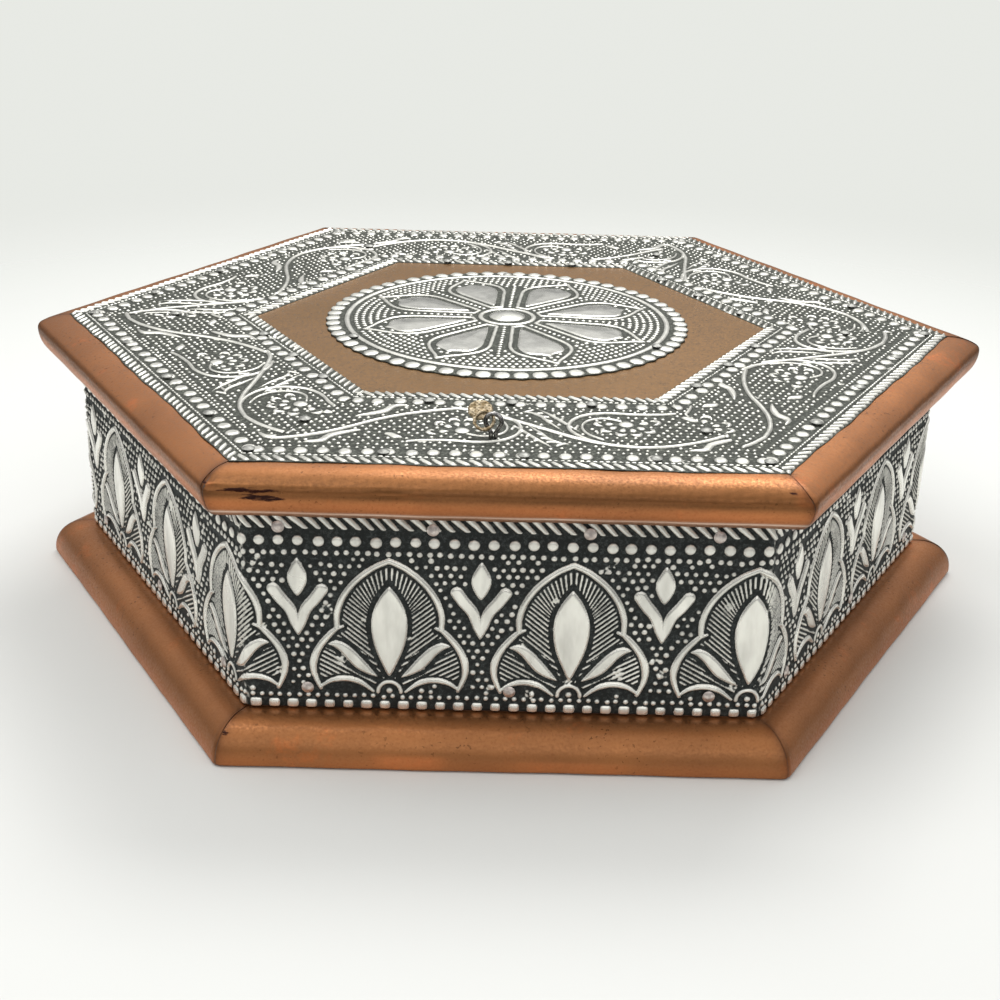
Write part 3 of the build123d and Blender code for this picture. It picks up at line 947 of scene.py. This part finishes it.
def draw_scroll(relief, crest, turned_over):
    """One half wave of the scroll: its trough's curl, flower and leaves.

    The other half wave is the same thing turned half round.
    """
    def place(line):
        line = np.asarray(line, float)
        if turned_over:
            line = (VINE_TURN * 2 - line[:, 0], -line[:, 1])
            line = np.stack(line, -1)
        return line + (crest, VINE_MIDDLE)

    relief.stroke(place(vine_line(RISING if turned_over else FALLING)), 1.2, 0.95)
    relief.stroke(place(vine_line(OUTER_CURL)), 1.05, 0.92, 0.3)
    relief.stroke(place(vine_line(INNER_CURL)), 0.65, 0.85)
    centre = place([vine_point(*FLOWER)])[0]
    relief.dot(*centre, 1.75, 0.98)
    for angle, reach in PETALS:
        draw_petal(relief, centre, math.radians(angle + (180 if turned_over else 0)), reach)
    for slug in SLUGS:
        draw_limb(relief, place(vine_line(slug)), SLUG_WIDTHS, 0.9, 0)
    for spine, side in SERRATED:
        line = place(vine_line(spine))
        draw_limb(relief, line, SPINE_WIDTHS, 0.85, 0)
        draw_serration(relief, line, side)


def draw_petal(relief, centre, angle, reach):
    """A teardrop that points to the flower's centre, capped by a thick crescent."""
    along = np.array([math.cos(angle), -math.sin(angle)])
    across = np.array([-along[1], along[0]])
    size = reach / PETAL_REACH

    def place(points):
        return np.array([centre + size * (u * along + v * across) for u, v in points])

    relief.patch(smooth_curve(place(PETAL_DROP), True), 0.85, 0.4, 0)
    draw_limb(relief, smooth_curve(place(PETAL_CAP)), CAP_WIDTHS, 0.9, 0)


def draw_serration(relief, line, side):
    """Leaf teeth along one side of a curve."""
    for share in TOOTH_PLACES:
        i = int(share * (len(line) - 2))
        along = line[i + 1] - line[i]
        along = along / np.hypot(*along)
        across = side * np.array([along[1], -along[0]])
        tip = line[i] + across * 1.9 * (1 - share) + along * 1.3
        relief.stroke(np.array([line[i], tip]), 0.8, 0.8)


def strip_relief(side, inner, outer):
    """One strip of the lid's border: along it, and distance from the box's centre."""
    span = (-STRIP_REACH, STRIP_REACH)
    relief = Relief(span, (inner - 1, outer + 1))
    crest = STRIP_CREST[SIDES[side]]
    for k in (-2, -1, 0, 1):
        for turned_over in (False, True):
            draw_scroll(relief, crest + k * VINE_PERIOD, turned_over)
    for edge, direction in ((inner, 1), (outer, -1)):
        rows = {name: edge + direction * inset for name, inset in BORDER_INSETS.items()}
        clear_row(relief, edge, rows["dots"] - direction * 0.9)
        rope = sorted(edge + direction * inset for inset in BORDER_ROPE)
        draw_rope(relief, span, rope, **STRIP_ROPE)
        for x in np.arange(*span, 1.35):
            dash = np.array([(x - 0.3, rows["dash"]), (x + 0.3, rows["dash"])])
            relief.stroke(dash, 0.6, random.uniform(0.55, 0.8))
        for x in np.arange(*span, 4.6):
            size = random.uniform(*STRIP_BEAD_RADII)
            place = (x + random.normal(0, 0.15), rows["bead"] + random.normal(0, 0.15))
            relief.bead(*place, size, 0.95, 1.1)
        for x in np.arange(*span, 1.75):
            relief.dot(x + random.normal(0, 0.1), rows["dots"], 0.46, random.uniform(0.6, 0.85))
    field = (inner + BORDER_INSETS["dots"] + 1.2, outer - BORDER_INSETS["dots"] - 0.8)
    relief.dots_between(span, field, pitch=2.05, radius=0.52, height=0.8, margin=0.18)
    for x in np.arange(*span, 5.0):
        worn_patch(relief, x + random.uniform(-2, 2), random.uniform(inner, outer), random.uniform(0.8, 2.2))
    return relief


def clear_row(relief, edge, line):
    """Wipes what the scroll has drawn over a border."""
    low, high = sorted((edge, line))
    rows = (relief.y >= low - 1) & (relief.y <= high)
    relief.height[rows] = 0
    relief.polish[rows] = 0


def add_lid_strip(side, strip_corners, base_height, material):
    """A strip between its four corners, given in the frame of its own side."""
    (left_out, right_out), (left_in, right_in) = strip_corners
    outer, inner = -left_out[1], -left_in[1]
    relief = strip_relief(side, inner, outer)
    rows = int((outer - inner) / STRIP_STEP)
    columns = int((right_out[0] - left_out[0]) / STRIP_STEP)
    u, v = np.meshgrid(np.linspace(0, 1, columns), np.linspace(0, 1, rows))
    left = left_out[0] + (left_in[0] - left_out[0]) * v
    right = right_out[0] + (right_in[0] - right_out[0]) * v
    x = left + (right - left) * u
    reach = outer + (inner - outer) * v
    height, polish, wear = relief.sample(x, reach)
    height = np.clip(height, 0, 1)
    edge = outer - reach
    wave = 0.22 * (1 + np.sin(x * 0.13 + side)) + 0.12 * (1 + np.sin(x * 0.47 + 2 * side))
    y = -reach + wave * np.exp(-edge / 1.5)
    z = base_height + STRIP_GROUND + STRIP_RELIEF * height
    front = np.stack([x, y, z], -1)
    back_low, back_high = front[0].copy(), front[-1].copy()
    back_low[:, 2] = back_high[:, 2] = base_height
    points, faces = sheet_mesh(front, back_low, back_high)
    wear = wear + 0.25 * np.exp(-np.minimum(edge, reach - inner) / 1.2)
    values = surface_values(height, polish, wear, 2 * columns)
    name = SIDES[side]
    shape = add_mesh(f"embossed_lid_{name}", turned(points, side), faces, values,
                     material, "lid")
    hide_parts(f"lid_strip_{name}")


def add_lid_strips(material):
    """The six strips between the lid's outline and the window, which is a little off centre."""
    front_low, front_high = box_mm("lid_strip_front")
    rear_low, rear_high = box_mm("lid_strip_back")
    outer = -front_low[1]
    window = (rear_low[1] - front_high[1]) / 2
    shift_y = (rear_low[1] + front_high[1]) / 2
    for side in range(6):
        corners = []
        for apothem, shift in ((outer, (0, 0)), (window, (WINDOW_SHIFT_X, shift_y))):
            angle = -side * math.pi / 3
            sx = math.cos(angle) * shift[0] - math.sin(angle) * shift[1]
            sy = math.sin(angle) * shift[0] + math.cos(angle) * shift[1]
            half = apothem * TAN_HALF - STRIP_MITRE_GAP
            corners.append(((sx - half, sy - apothem), (sx + half, sy - apothem)))
        add_lid_strip(side, corners, front_low[2], material)


# Medallion

PETAL_TURN = math.radians(18.5)
BEAD_COUNT = 63
PETAL_HALF = [
    (9.0, 1.5), (15.0, 3.8), (20.0, 5.7), (24.5, 7.3),
    (28.0, 7.5), (31.0, 6.4), (34.2, 3.9), (36.6, 1.5),
]
PETAL_TIP = (38.8, 0)
RIM_BEAD = 1.95  # half length of a bead of the rim
MEDALLION_RINGS = ((7.0, 1.1, 0.85), (42.1, 1.15, 0.9))  # radius, width and height
BOSS_RADIUS = 4.9
SPOKE_DOTS = (9.6, 31, 1.75)  # first and last radius, and pitch
FIELD_ROWS = (25.0, 41.2, 1.85)
FIELD_PITCH = 1.75
POLISHED_INSET = 1.75
MEDALLION_GRID = 300
MEDALLION_FOOT = 0.35  # thickness at the rim, before its relief
MEDALLION_CROWN = 0.8
MEDALLION_RELIEF = 0.52
BOSS_RISE = 0.75


def medallion_relief(radius):
    """Eight polished petals round a boss, in a field of dots, inside a beaded rim."""
    relief = Relief((-radius - 1, radius + 1), (-radius - 1, radius + 1))
    x, y = np.meshgrid(relief.x, relief.y)
    whole = (slice(None), slice(None))
    r = np.hypot(x, y)
    angle = np.arctan2(y, x)
    fold = (angle - PETAL_TURN + math.pi / 8) % (math.pi / 4) - math.pi / 8
    along, across = r * np.cos(fold), r * np.sin(fold)
    polished = petal_outline(POLISHED_INSET)
    distance, _ = distance_to_line(along, across, petal_outline(0.0))
    relief.lift(whole, 0.8 * rounded(distance, 0.52))
    distance, _ = distance_to_line(along, across, polished)
    deep = np.where(inside(along, across, polished), distance, 0)
    relief.lift(whole, 0.62 * eased(deep / 0.6) + 0.38 * eased(deep / 5.5), 1.0)
    for ring, width, height in MEDALLION_RINGS:
        relief.lift(whole, height * rounded(np.abs(r - ring), width / 2 + 0.15))
    relief.lift(whole, rounded(r, BOSS_RADIUS), 1.0)
    turn = angle / (2 * math.pi) * BEAD_COUNT
    beads = np.abs(turn - np.round(turn)) * 2
    length = np.clip(np.abs(r - (radius - RIM_BEAD)) / RIM_BEAD, 0, 1)
    bead = rounded(np.hypot(beads / 0.86, length**1.6), 1.0)
    relief.lift(whole, 0.95 * bead * (r > radius - 4.0))
    spokes = [PETAL_TURN + (k + 0.5) * math.pi / 4 for k in range(8)]
    for spoke in spokes:
        for reach in np.arange(*SPOKE_DOTS):
            relief.dot(reach * math.cos(spoke), reach * math.sin(spoke), 0.62, 0.75)
    field = [
        (reach * math.cos(a), reach * math.sin(a))
        for row, reach in enumerate(np.arange(*FIELD_ROWS))
        for a in np.arange(0, 2 * math.pi, FIELD_PITCH / reach) + (row % 2) * 0.9 / reach
    ]
    for px, py in field:
        if relief.free(px, py, 0.85):
            relief.dot(px, py, 0.68 * random.uniform(0.9, 1.1), 0.75)
    return relief


def petal_outline(inset):
    """A petal along the first axis: narrow at the boss, with a pointed outer tip."""
    half, tip = PETAL_HALF, PETAL_TIP
    if inset:
        half = [(r + inset * (1.0 if r < 10 else 0), max(w - inset, 0.25)) for r, w in half[:-2]]
        half[-1] = (half[-1][0] - 0.3, half[-1][1])
        tip = (tip[0] - 2.9 * inset, 0)
        half.append((33.0 - 0.4 * inset, 1.5))
    upper = smooth_curve(half + [tip])
    lower = upper[::-1] * (1, -1)
    return np.vstack([upper, lower, upper[:1]])


def add_medallion(material):
    """The medallion as one closed mesh: a square grid drawn out to a disc."""
    low, high = box_mm("medallion")
    centre = (low + high)[:2] / 2
    radius = (high - low)[0] / 2
    relief = medallion_relief(radius)
    count = MEDALLION_GRID
    u, v = np.meshgrid(np.linspace(-1, 1, count), np.linspace(-1, 1, count))
    x = u * np.sqrt(1 - v * v / 2) * radius
    y = v * np.sqrt(1 - u * u / 2) * radius
    r = np.hypot(x, y)
    angle = np.arctan2(y, x)
    scallop = 1 - np.cos(angle * BEAD_COUNT)
    shrink = 1 - 0.0055 * scallop * eased((r - radius + 3) / 3)
    height, polish, _ = relief.sample(x, y)
    crown = MEDALLION_CROWN * (1 - (r / radius) ** 2)
    boss = BOSS_RISE * rounded(r, BOSS_RADIUS)
    tall = MEDALLION_FOOT + crown + MEDALLION_RELIEF * height + boss
    front = np.stack([centre[0] + x * shrink, centre[1] + y * shrink, low[2] + tall], -1)
    top = list(range(count))
    right = [i * count + count - 1 for i in range(1, count)]
    bottom = [(count - 1) * count + j for j in range(count - 2, -1, -1)]
    left = [i * count for i in range(count - 2, 0, -1)]
    rim = top + right + bottom + left
    points = front.reshape(-1, 3)
    foot = points[rim].copy()
    foot[:, 2] = low[2]
    start = len(points)
    size = len(rim)
    faces = grid_faces(count, count)
    for k in range(size):
        after = (k + 1) % size
        faces.append([rim[after], rim[k], start + k, start + after])
    faces.append([start + k for k in range(size)][::-1])
    wear = 0.2 * eased((r - radius + 2) / 2)
    values = surface_values(np.clip(height, 0, 1), polish, wear, size)
    points = np.concatenate([points, foot])
    shape = add_mesh("embossed_medallion", points, faces, values, material, "lid")
    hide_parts("medallion")


# Copper edges

EDGE_COLUMNS = 300
COPPER = 0.4
COPPER_LAP = 14.0
LID_SWELL = 3.8  # height of the upper curve
LID_CURVE_WIDTH = 7.6
LID_SIDE_ROUND = 2.2
LID_TUCK = 1.6
LID_LIP = 0.9
BASE_ROUND = 8.4
FOOT_ROUND = 1.0
SEAM_GAP = 0.0009  # as a share of half the side
SEAM_BOW_START = 0.12
SEAM_BOW_LENGTH = 0.6


def round_corner(reach, distance, corner):
    """A point on the outline of a hexagon with rounded corners, for a side's frame.

    Reach is the share of half the side, from -1 to 1, as an angle about the centre.
    """
    angle = reach * HALF_SIDE
    tangent = (distance - corner) * TAN_HALF
    flat = np.abs(distance * np.tan(angle)) <= tangent
    middle = (distance - corner) / math.cos(HALF_SIDE)
    away = HALF_SIDE - np.abs(angle)
    swing = np.maximum(corner**2 - (middle * np.sin(away)) ** 2, 0)
    radius = np.where(flat, distance / np.cos(angle), middle * np.cos(away) + np.sqrt(swing))
    return radius * np.sin(angle), -radius * np.cos(angle)


def arc(centre, radius, start, end, count):
    """Points of an arc, with angles in degrees."""
    turn = np.radians(np.linspace(start, end, count))
    return [(centre[0] + radius * math.cos(t), centre[1] + radius * math.sin(t)) for t in turn]


def lid_profile(edge, low, high):
    """The lid's moulding from its lap on top, round the edge, to its lap below."""
    swell, width, side_round = LID_SWELL, LID_CURVE_WIDTH, LID_SIDE_ROUND
    tuck, lip, lap = LID_TUCK, LID_LIP, COPPER_LAP
    widest = high - swell
    drop = widest - low - lip
    lower = (tuck**2 + drop**2) / (2 * tuck)
    lower_angle = math.degrees(math.asin(drop / lower))
    run = width - side_round
    upper = (run**2 + swell**2 - side_round**2) / 2 / (swell - side_round)
    join = math.degrees(math.atan2(upper - swell, run))
    points = [(edge - lap + t, high) for t in np.linspace(0, lap - width, 9)[:-1]]
    points += arc((edge - width, high - upper), upper, 90, join, 16)[:-1]
    points += arc((edge - side_round, widest), side_round, join, 0, 10)[:-1]
    points += arc((edge - lower, widest), lower, 0, -lower_angle, 14)
    points += [(edge - tuck - lip, low)]
    points += [(edge - tuck - lip - t, low) for t in (4.0, 8.0, lap - tuck - lip)]
    return np.array(points)


def base_profile(edge, low, high):
    """The base's moulding from its lap on top, round the edge, to its lap below."""
    roundness, foot, lap = BASE_ROUND, FOOT_ROUND, COPPER_LAP
    points = [(edge - lap + t, high) for t in np.linspace(0, lap - roundness, 4)[:-1]]
    points += arc((edge - roundness, high - roundness), roundness, 90, 0, 26)[:-1]
    points += arc((edge - foot, low + foot), foot, 0, -90, 6)
    points += [(edge - foot - t, low) for t in (4.0, 8.0, lap - foot)]
    return np.array(points)


def seam_line(bow, way):
    """How far a length of copper passes its corner, as a share of half the side.

    The bow is 0 for a straight seam. Way is the share along the profile.
    """
    return bow * np.sin(np.clip((way - SEAM_BOW_START) / SEAM_BOW_LENGTH, 0, 1) * math.pi) - SEAM_GAP


def dented(along, way, side, dents):
    """How far the sheet is pressed in: gentle waves and a few dents."""
    inward = 0.1 + 0.05 * np.sin(along * 0.09 + 2 * side) + 0.04 * np.sin(along * 0.31 + way * 5 + side)
    for middle, place, (wide, tall), depth in dents:
        inward = inward + depth * np.exp(-((along - middle) / wide) ** 2 - ((way - place) / tall) ** 2)
    return np.clip(inward, 0, COPPER * 0.85)


def edge_looks(along, way, share, side, marks, bands):
    """The copper's marks, which are spots, and its bands, which run along it; some are painted light: a
    highlight, dark reflections and light on the lower curve.
    """
    looks = {key: np.zeros_like(along) for key in ("stain", "worn_and_painted_light", "painted_dark_reflection", "painted_highlight")}
    looks["seam"] = 0.55 * np.exp(-(1 - np.abs(share[None, :])) * 60) + 0 * along
    for key, middle, place, (wide, tall), strength in marks:
        ragged = 0.9 + 0.1 * np.sin(along * 1.7 + way * 31) * np.sin(along * 0.9 - way * 25)
        spot = np.exp(-((along - middle) / wide) ** 4 - ((way - place) / tall) ** 4)
        looks[key] = np.maximum(looks[key], strength * ragged * spot)
    for key, place, width, strength in bands:
        uneven = strength * (0.85 + 0.15 * np.sin(along * 0.17 + side))
        looks[key] = np.maximum(looks[key], uneven * np.exp(-((way - place) / width) ** 2))
    return {key: np.concatenate([layer, layer * 0]).ravel() for key, layer in looks.items()}


def edge_piece(body, side, profile, style, material):
    """One length of copper bent over an edge, closed by an inner skin."""
    name = SIDES[side]
    share = np.linspace(-1, 1, EDGE_COLUMNS)
    share = np.sign(share) * (1 - (1 - np.abs(share)) ** 1.35)
    rows = len(profile)
    step = np.gradient(profile, axis=0)
    normal = np.stack([-step[:, 1], step[:, 0]], -1)
    normal /= np.hypot(normal[:, 0], normal[:, 1])[:, None]
    way = np.linspace(0, 1, rows)[:, None]
    left, right = (1 + seam_line(bow, way) for bow in style["bows"].get(name, (0, 0)))
    reach = np.where(share[None, :] < 0, share[None, :] * left, share[None, :] * right)
    along = reach * profile[:, :1] * TAN_HALF
    inward = dented(along, way, side, style["dents"].get(name, []))
    edge = profile[:, 0].max()
    sharpness = np.clip((profile[:, :1] - edge + 9.0) / 9.0, 0.05, 1)
    layers = []
    for depth in (inward, np.full_like(inward, COPPER * 0.97)):
        distance = profile[:, :1] - normal[:, :1] * depth
        height = profile[:, 1:] - normal[:, 1:] * depth
        x, y = round_corner(reach, distance, style["corner"] * sharpness + 0 * reach)
        layers.append(np.stack([x, y, height], -1))
    points = np.concatenate([layers[0], layers[1][::-1]]).reshape(-1, 3)
    faces = [face[::-1] for face in grid_faces(2 * rows, EDGE_COLUMNS, closed_rows=True)]
    faces.append([i * EDGE_COLUMNS for i in range(2 * rows)])
    faces.append([i * EDGE_COLUMNS + EDGE_COLUMNS - 1 for i in range(2 * rows)][::-1])
    values = edge_looks(along, way, share, side, style["marks"].get(name, []), style["bands"])
    shape = add_mesh(f"copper_{body}_{name}", turned(points, side), faces, values,
                     material, body)
    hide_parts(f"{body}_edge_{name}")


# Places on the copper are millimetres along a side from its middle, and shares along the
# profile. A dent is a place, its size and its depth; a mark is a look, a place, its size and
# its strength; a band is a look, a share, its width and its strength; a bow is for each seam.
LID_EDGE = {
    "corner": 2.2,
    "bows": {"front": (0.013, -0.012), "front_left": (0, -0.013), "front_right": (0.012, 0)},
    # Each band here is painted light: a highlight along the lip, a dark reflection under the widest line and
    # light on the lower curve
    "bands": [("painted_highlight", 0.9, 0.016, 1.0), ("painted_dark_reflection", 0.675, 0.035, 0.8), ("worn_and_painted_light", 0.8, 0.09, 0.5)],
    "dents": {
        "front": [
            (-27.0, 0.6, (4.0, 0.06), 0.2),
            (48.0, 0.5, (3.0, 0.1), 0.12),
            (-61.5, 0.42, (1.2, 0.05), 0.25),
            (-60.5, 0.55, (1.5, 0.05), 0.25),
            (61.0, 0.6, (1.6, 0.12), 0.25),
        ],
    },
    "marks": {
        "front": [
            ("stain", -54.4, 0.59, (7.0, 0.06), 0.85),
            ("stain", -51.5, 0.7, (5.2, 0.05), 0.82),
            ("stain", -62.0, 0.48, (0.8, 0.06), 0.8),
            ("worn_and_painted_light", -61.0, 0.5, (0.9, 0.06), 0.9),
            # A painted dark reflection across the whole front
            ("painted_dark_reflection", 0.0, 0.48, (110.0, 0.15), 0.95),
            ("worn_and_painted_light", 60.8, 0.52, (2.2, 0.15), 1.0),
            ("stain", 62.4, 0.55, (0.5, 0.12), 0.8),
            ("stain", 58.6, 0.44, (1.6, 0.02), 0.8),
        ],
    },
}
BASE_EDGE = {
    "corner": 2.6,
    "bows": {},
    # A band of painted light along the base's lower curve
    "bands": [("worn_and_painted_light", 0.76, 0.1, 0.3)],
    "dents": {},
    "marks": {
        "front": [
            ("worn_and_painted_light", -22.0, 0.72, (9.0, 0.08), 0.8),
            ("worn_and_painted_light", 16.0, 0.74, (16.0, 0.07), 0.55),
            ("stain", -22.0, 0.71, (1.2, 0.03), 0.45),
            ("stain", -60.3, 0.42, (1.0, 0.05), 0.9),
        ],
    },
}


def add_copper_edges(material):
    """Copper along all the edges of the lid and the base."""
    low, high = box_mm("lid_edge_front")
    lid = lid_profile(-low[1], low[2], high[2])
    low, high = box_mm("base_edge_front")
    base = base_profile(-low[1], low[2], high[2])
    for side in range(6):
        edge_piece("lid", side, lid, LID_EDGE, material)
        edge_piece("base", side, base, BASE_EDGE, material)


# Linings

PANEL_RINGS = ((0.0, 0.0), (0.1, 0.6), (0.45, 0.92), (2.0, 1.0))  # inset, and share of the thickness
PANEL_GRID = (61, 25)
PANEL_GAP = 0.05


def padded_panel(name, outline, low, high, material, body, node):
    """A velvet panel with soft edges on a flat outline, facing up or down."""
    outline = np.asarray(outline, float)
    count = len(outline)
    rings = []
    up = high > low
    for inset, share in PANEL_RINGS:
        centre = outline.mean(0)
        reach = np.hypot(*(outline - centre).T)[:, None]
        ring = centre + (outline - centre) * (1 - inset / reach)
        height = np.full((count, 1), low + (high - low) * share)
        rings.append(np.hstack([ring, height]))
    points = np.concatenate(rings)
    faces = []
    last = len(PANEL_RINGS) - 1
    for i in range(last):
        for k in range(count):
            after = (k + 1) % count
            face = [i * count + k, i * count + after, (i + 1) * count + after, (i + 1) * count + k]
            faces.append(face if up else face[::-1])
    top = [last * count + k for k in range(count)]
    bottom = list(range(count))[::-1]
    faces.append(top if up else top[::-1])
    faces.append(bottom if up else bottom[::-1])
    shape = add_mesh(name, points, faces, {}, material, body)
    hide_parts(node)


def hexagon(apothem):
    """The corners of a hexagon that faces front and back."""
    radius = apothem / math.cos(HALF_SIDE)
    return [(radius * math.cos(k * math.pi / 3), radius * math.sin(k * math.pi / 3)) for k in range(6)]


def add_linings(material):
    """Velvet on the floor, the walls and the lid's underside."""
    low, high = box_mm("floor_lining")
    padded_panel("velvet_floor", hexagon(high[1]), low[2], high[2], material, "base", "floor_lining")
    low, high = box_mm("lid_lining")
    padded_panel("velvet_lid", hexagon(high[1]), high[2], low[2], material, "lid", "lid_lining")
    low, high = box_mm("wall_lining_front")
    for side, name in enumerate(SIDES):
        add_wall_panel(side, name, low, high, material)


def add_wall_panel(side, name, low, high, material):
    """A velvet panel on the inside of a wall, with soft edges."""
    columns, rows = PANEL_GRID
    outer, inner = -low[1], -high[1]
    u, v = np.meshgrid(np.linspace(-1, 1, columns), np.linspace(0, 1, rows))
    soft = eased((1 - np.abs(u)) / 0.03) * eased(v / 0.06) * eased((1 - v) / 0.06)
    depth = 0.35 + 0.65 * soft
    reach = outer - (outer - inner) * depth
    x = u * (reach * TAN_HALF - PANEL_GAP)
    z = low[2] + (high[2] - low[2]) * v
    front = np.stack([-x, -reach, z], -1)
    back_x = -u[0] * (outer * TAN_HALF - PANEL_GAP)
    back_low, back_high = (np.stack([back_x, np.full(columns, -outer), z[row]], -1) for row in (0, -1))
    points, faces = sheet_mesh(front, back_low, back_high)
    shape = add_mesh(f"velvet_wall_{name}", turned(points, side), faces, {}, material, "base")
    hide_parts(f"wall_lining_{name}")


# The pull's drop

DROP_VOXEL = 0.09
DENT_DEPTH = 0.2


def dent_share(x, y, z):
    """How deep the hammering is at a place in millimetres, as a share of its full depth."""
    dent = 0.5 + 0.5 * math.sin(2.9 * x + 1.7 * z) * math.sin(3.3 * z + 1.1 * y)
    pock = max(0.0, math.sin(7.1 * x) * math.sin(6.7 * z + 0.8) * math.sin(5.9 * y))
    return dent * 0.6 + pock


def add_pull_drop(node, material):
    """The drop with a hammered surface, closed and joined into one skin."""
    mesh = bpy.data.meshes.new_from_object(node)
    mesh.transform(node.matrix_world)
    rough = bpy.data.objects.new("hammered_drop", mesh)
    bpy.context.scene.collection.objects.link(rough)
    remesh = rough.modifiers.new("skin", "REMESH")
    remesh.mode = "VOXEL"
    remesh.voxel_size = DROP_VOXEL * MM
    skin = bpy.data.meshes.new_from_object(rough.evaluated_get(bpy.context.evaluated_depsgraph_get()))
    rough.modifiers.clear()
    rough.data = skin
    for vertex in skin.vertices:
        share = dent_share(*(np.array(vertex.co) / MM))
        vertex.co -= vertex.normal * (DENT_DEPTH * share * MM)
    skin.materials.clear()
    skin.materials.append(material)
    skin.polygons.foreach_set("use_smooth", [True] * len(skin.polygons))
    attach(rough, "drop")
    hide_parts("pull_drop")


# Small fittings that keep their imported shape

def dress_nodes(nodes, materials):
    """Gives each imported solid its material."""
    for name, node in nodes.items():
        if name.startswith("lid_sheet"):
            kind = "sheet"
        elif name.startswith(("wall_", "base_board", "lid_board")):
            kind = "wood"
        elif name in ("strip_nails", "medallion_nails"):
            kind = "lid_nail"
        elif "nails" in name or "screws" in name:
            kind = "nail"
        elif name == "pull_pin" or name.endswith("_pin"):
            kind = "dark_steel"
        elif "leaf" in name:
            kind = "brass"
        else:
            continue
        node.data.materials.clear()
        node.data.materials.append(materials[kind])


def main():
    """Loads the frame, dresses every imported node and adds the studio."""
    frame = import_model()
    bpy.context.scene.view_settings.view_transform = "Standard"
    add_camera()
    add_world()
    add_floor()
    add_lights()
    wall_metal = embossed_metal(
        "wall_metal", hollow=(0.021, 0.024, 0.023), raised=(1.0, 0.985, 0.9), worn=0.2, metal=0.62)
    lid_metal = embossed_metal(
        "lid_metal", hollow=(0.048, 0.051, 0.042), raised=(0.85, 0.84, 0.77), worn=0.3, metal=1.0)
    copper = copper_metal(
        "copper", warm=(0.43, 0.175, 0.062), brown=(0.31, 0.13, 0.05), gloss=0.4, coat=0.12, specks=0.07)
    sheet = copper_metal(
        "copper_top", warm=(0.29, 0.165, 0.074), brown=(0.235, 0.136, 0.06), gloss=0.36, coat=0.0, specks=0.0)
    brass = plain_metal(
        "brass", (0.76, 0.64, 0.46), (0.27, 0.2, 0.11), roughness=0.5, scale=1100.0, bump=0.0003)
    dress_nodes(frame["nodes"], {
        "sheet": sheet,
        "wood": wood_material(),
        "nail": plain_metal("nail_metal", (0.85, 0.77, 0.71), (0.5, 0.44, 0.41), 0.45),
        "lid_nail": plain_metal("lid_nail_metal", (0.42, 0.42, 0.39), (0.26, 0.26, 0.24), 0.5),
        "dark_steel": plain_metal("dark_steel", (0.5, 0.48, 0.46), (0.1, 0.1, 0.1), 0.25),
        "brass": brass,
    })
    add_wall_band(wall_metal)
    add_lid_strips(lid_metal)
    add_medallion(lid_metal)
    add_copper_edges(copper)
    add_linings(velvet_material())
    add_pull_drop(frame["nodes"]["pull_drop"], brass)


main()
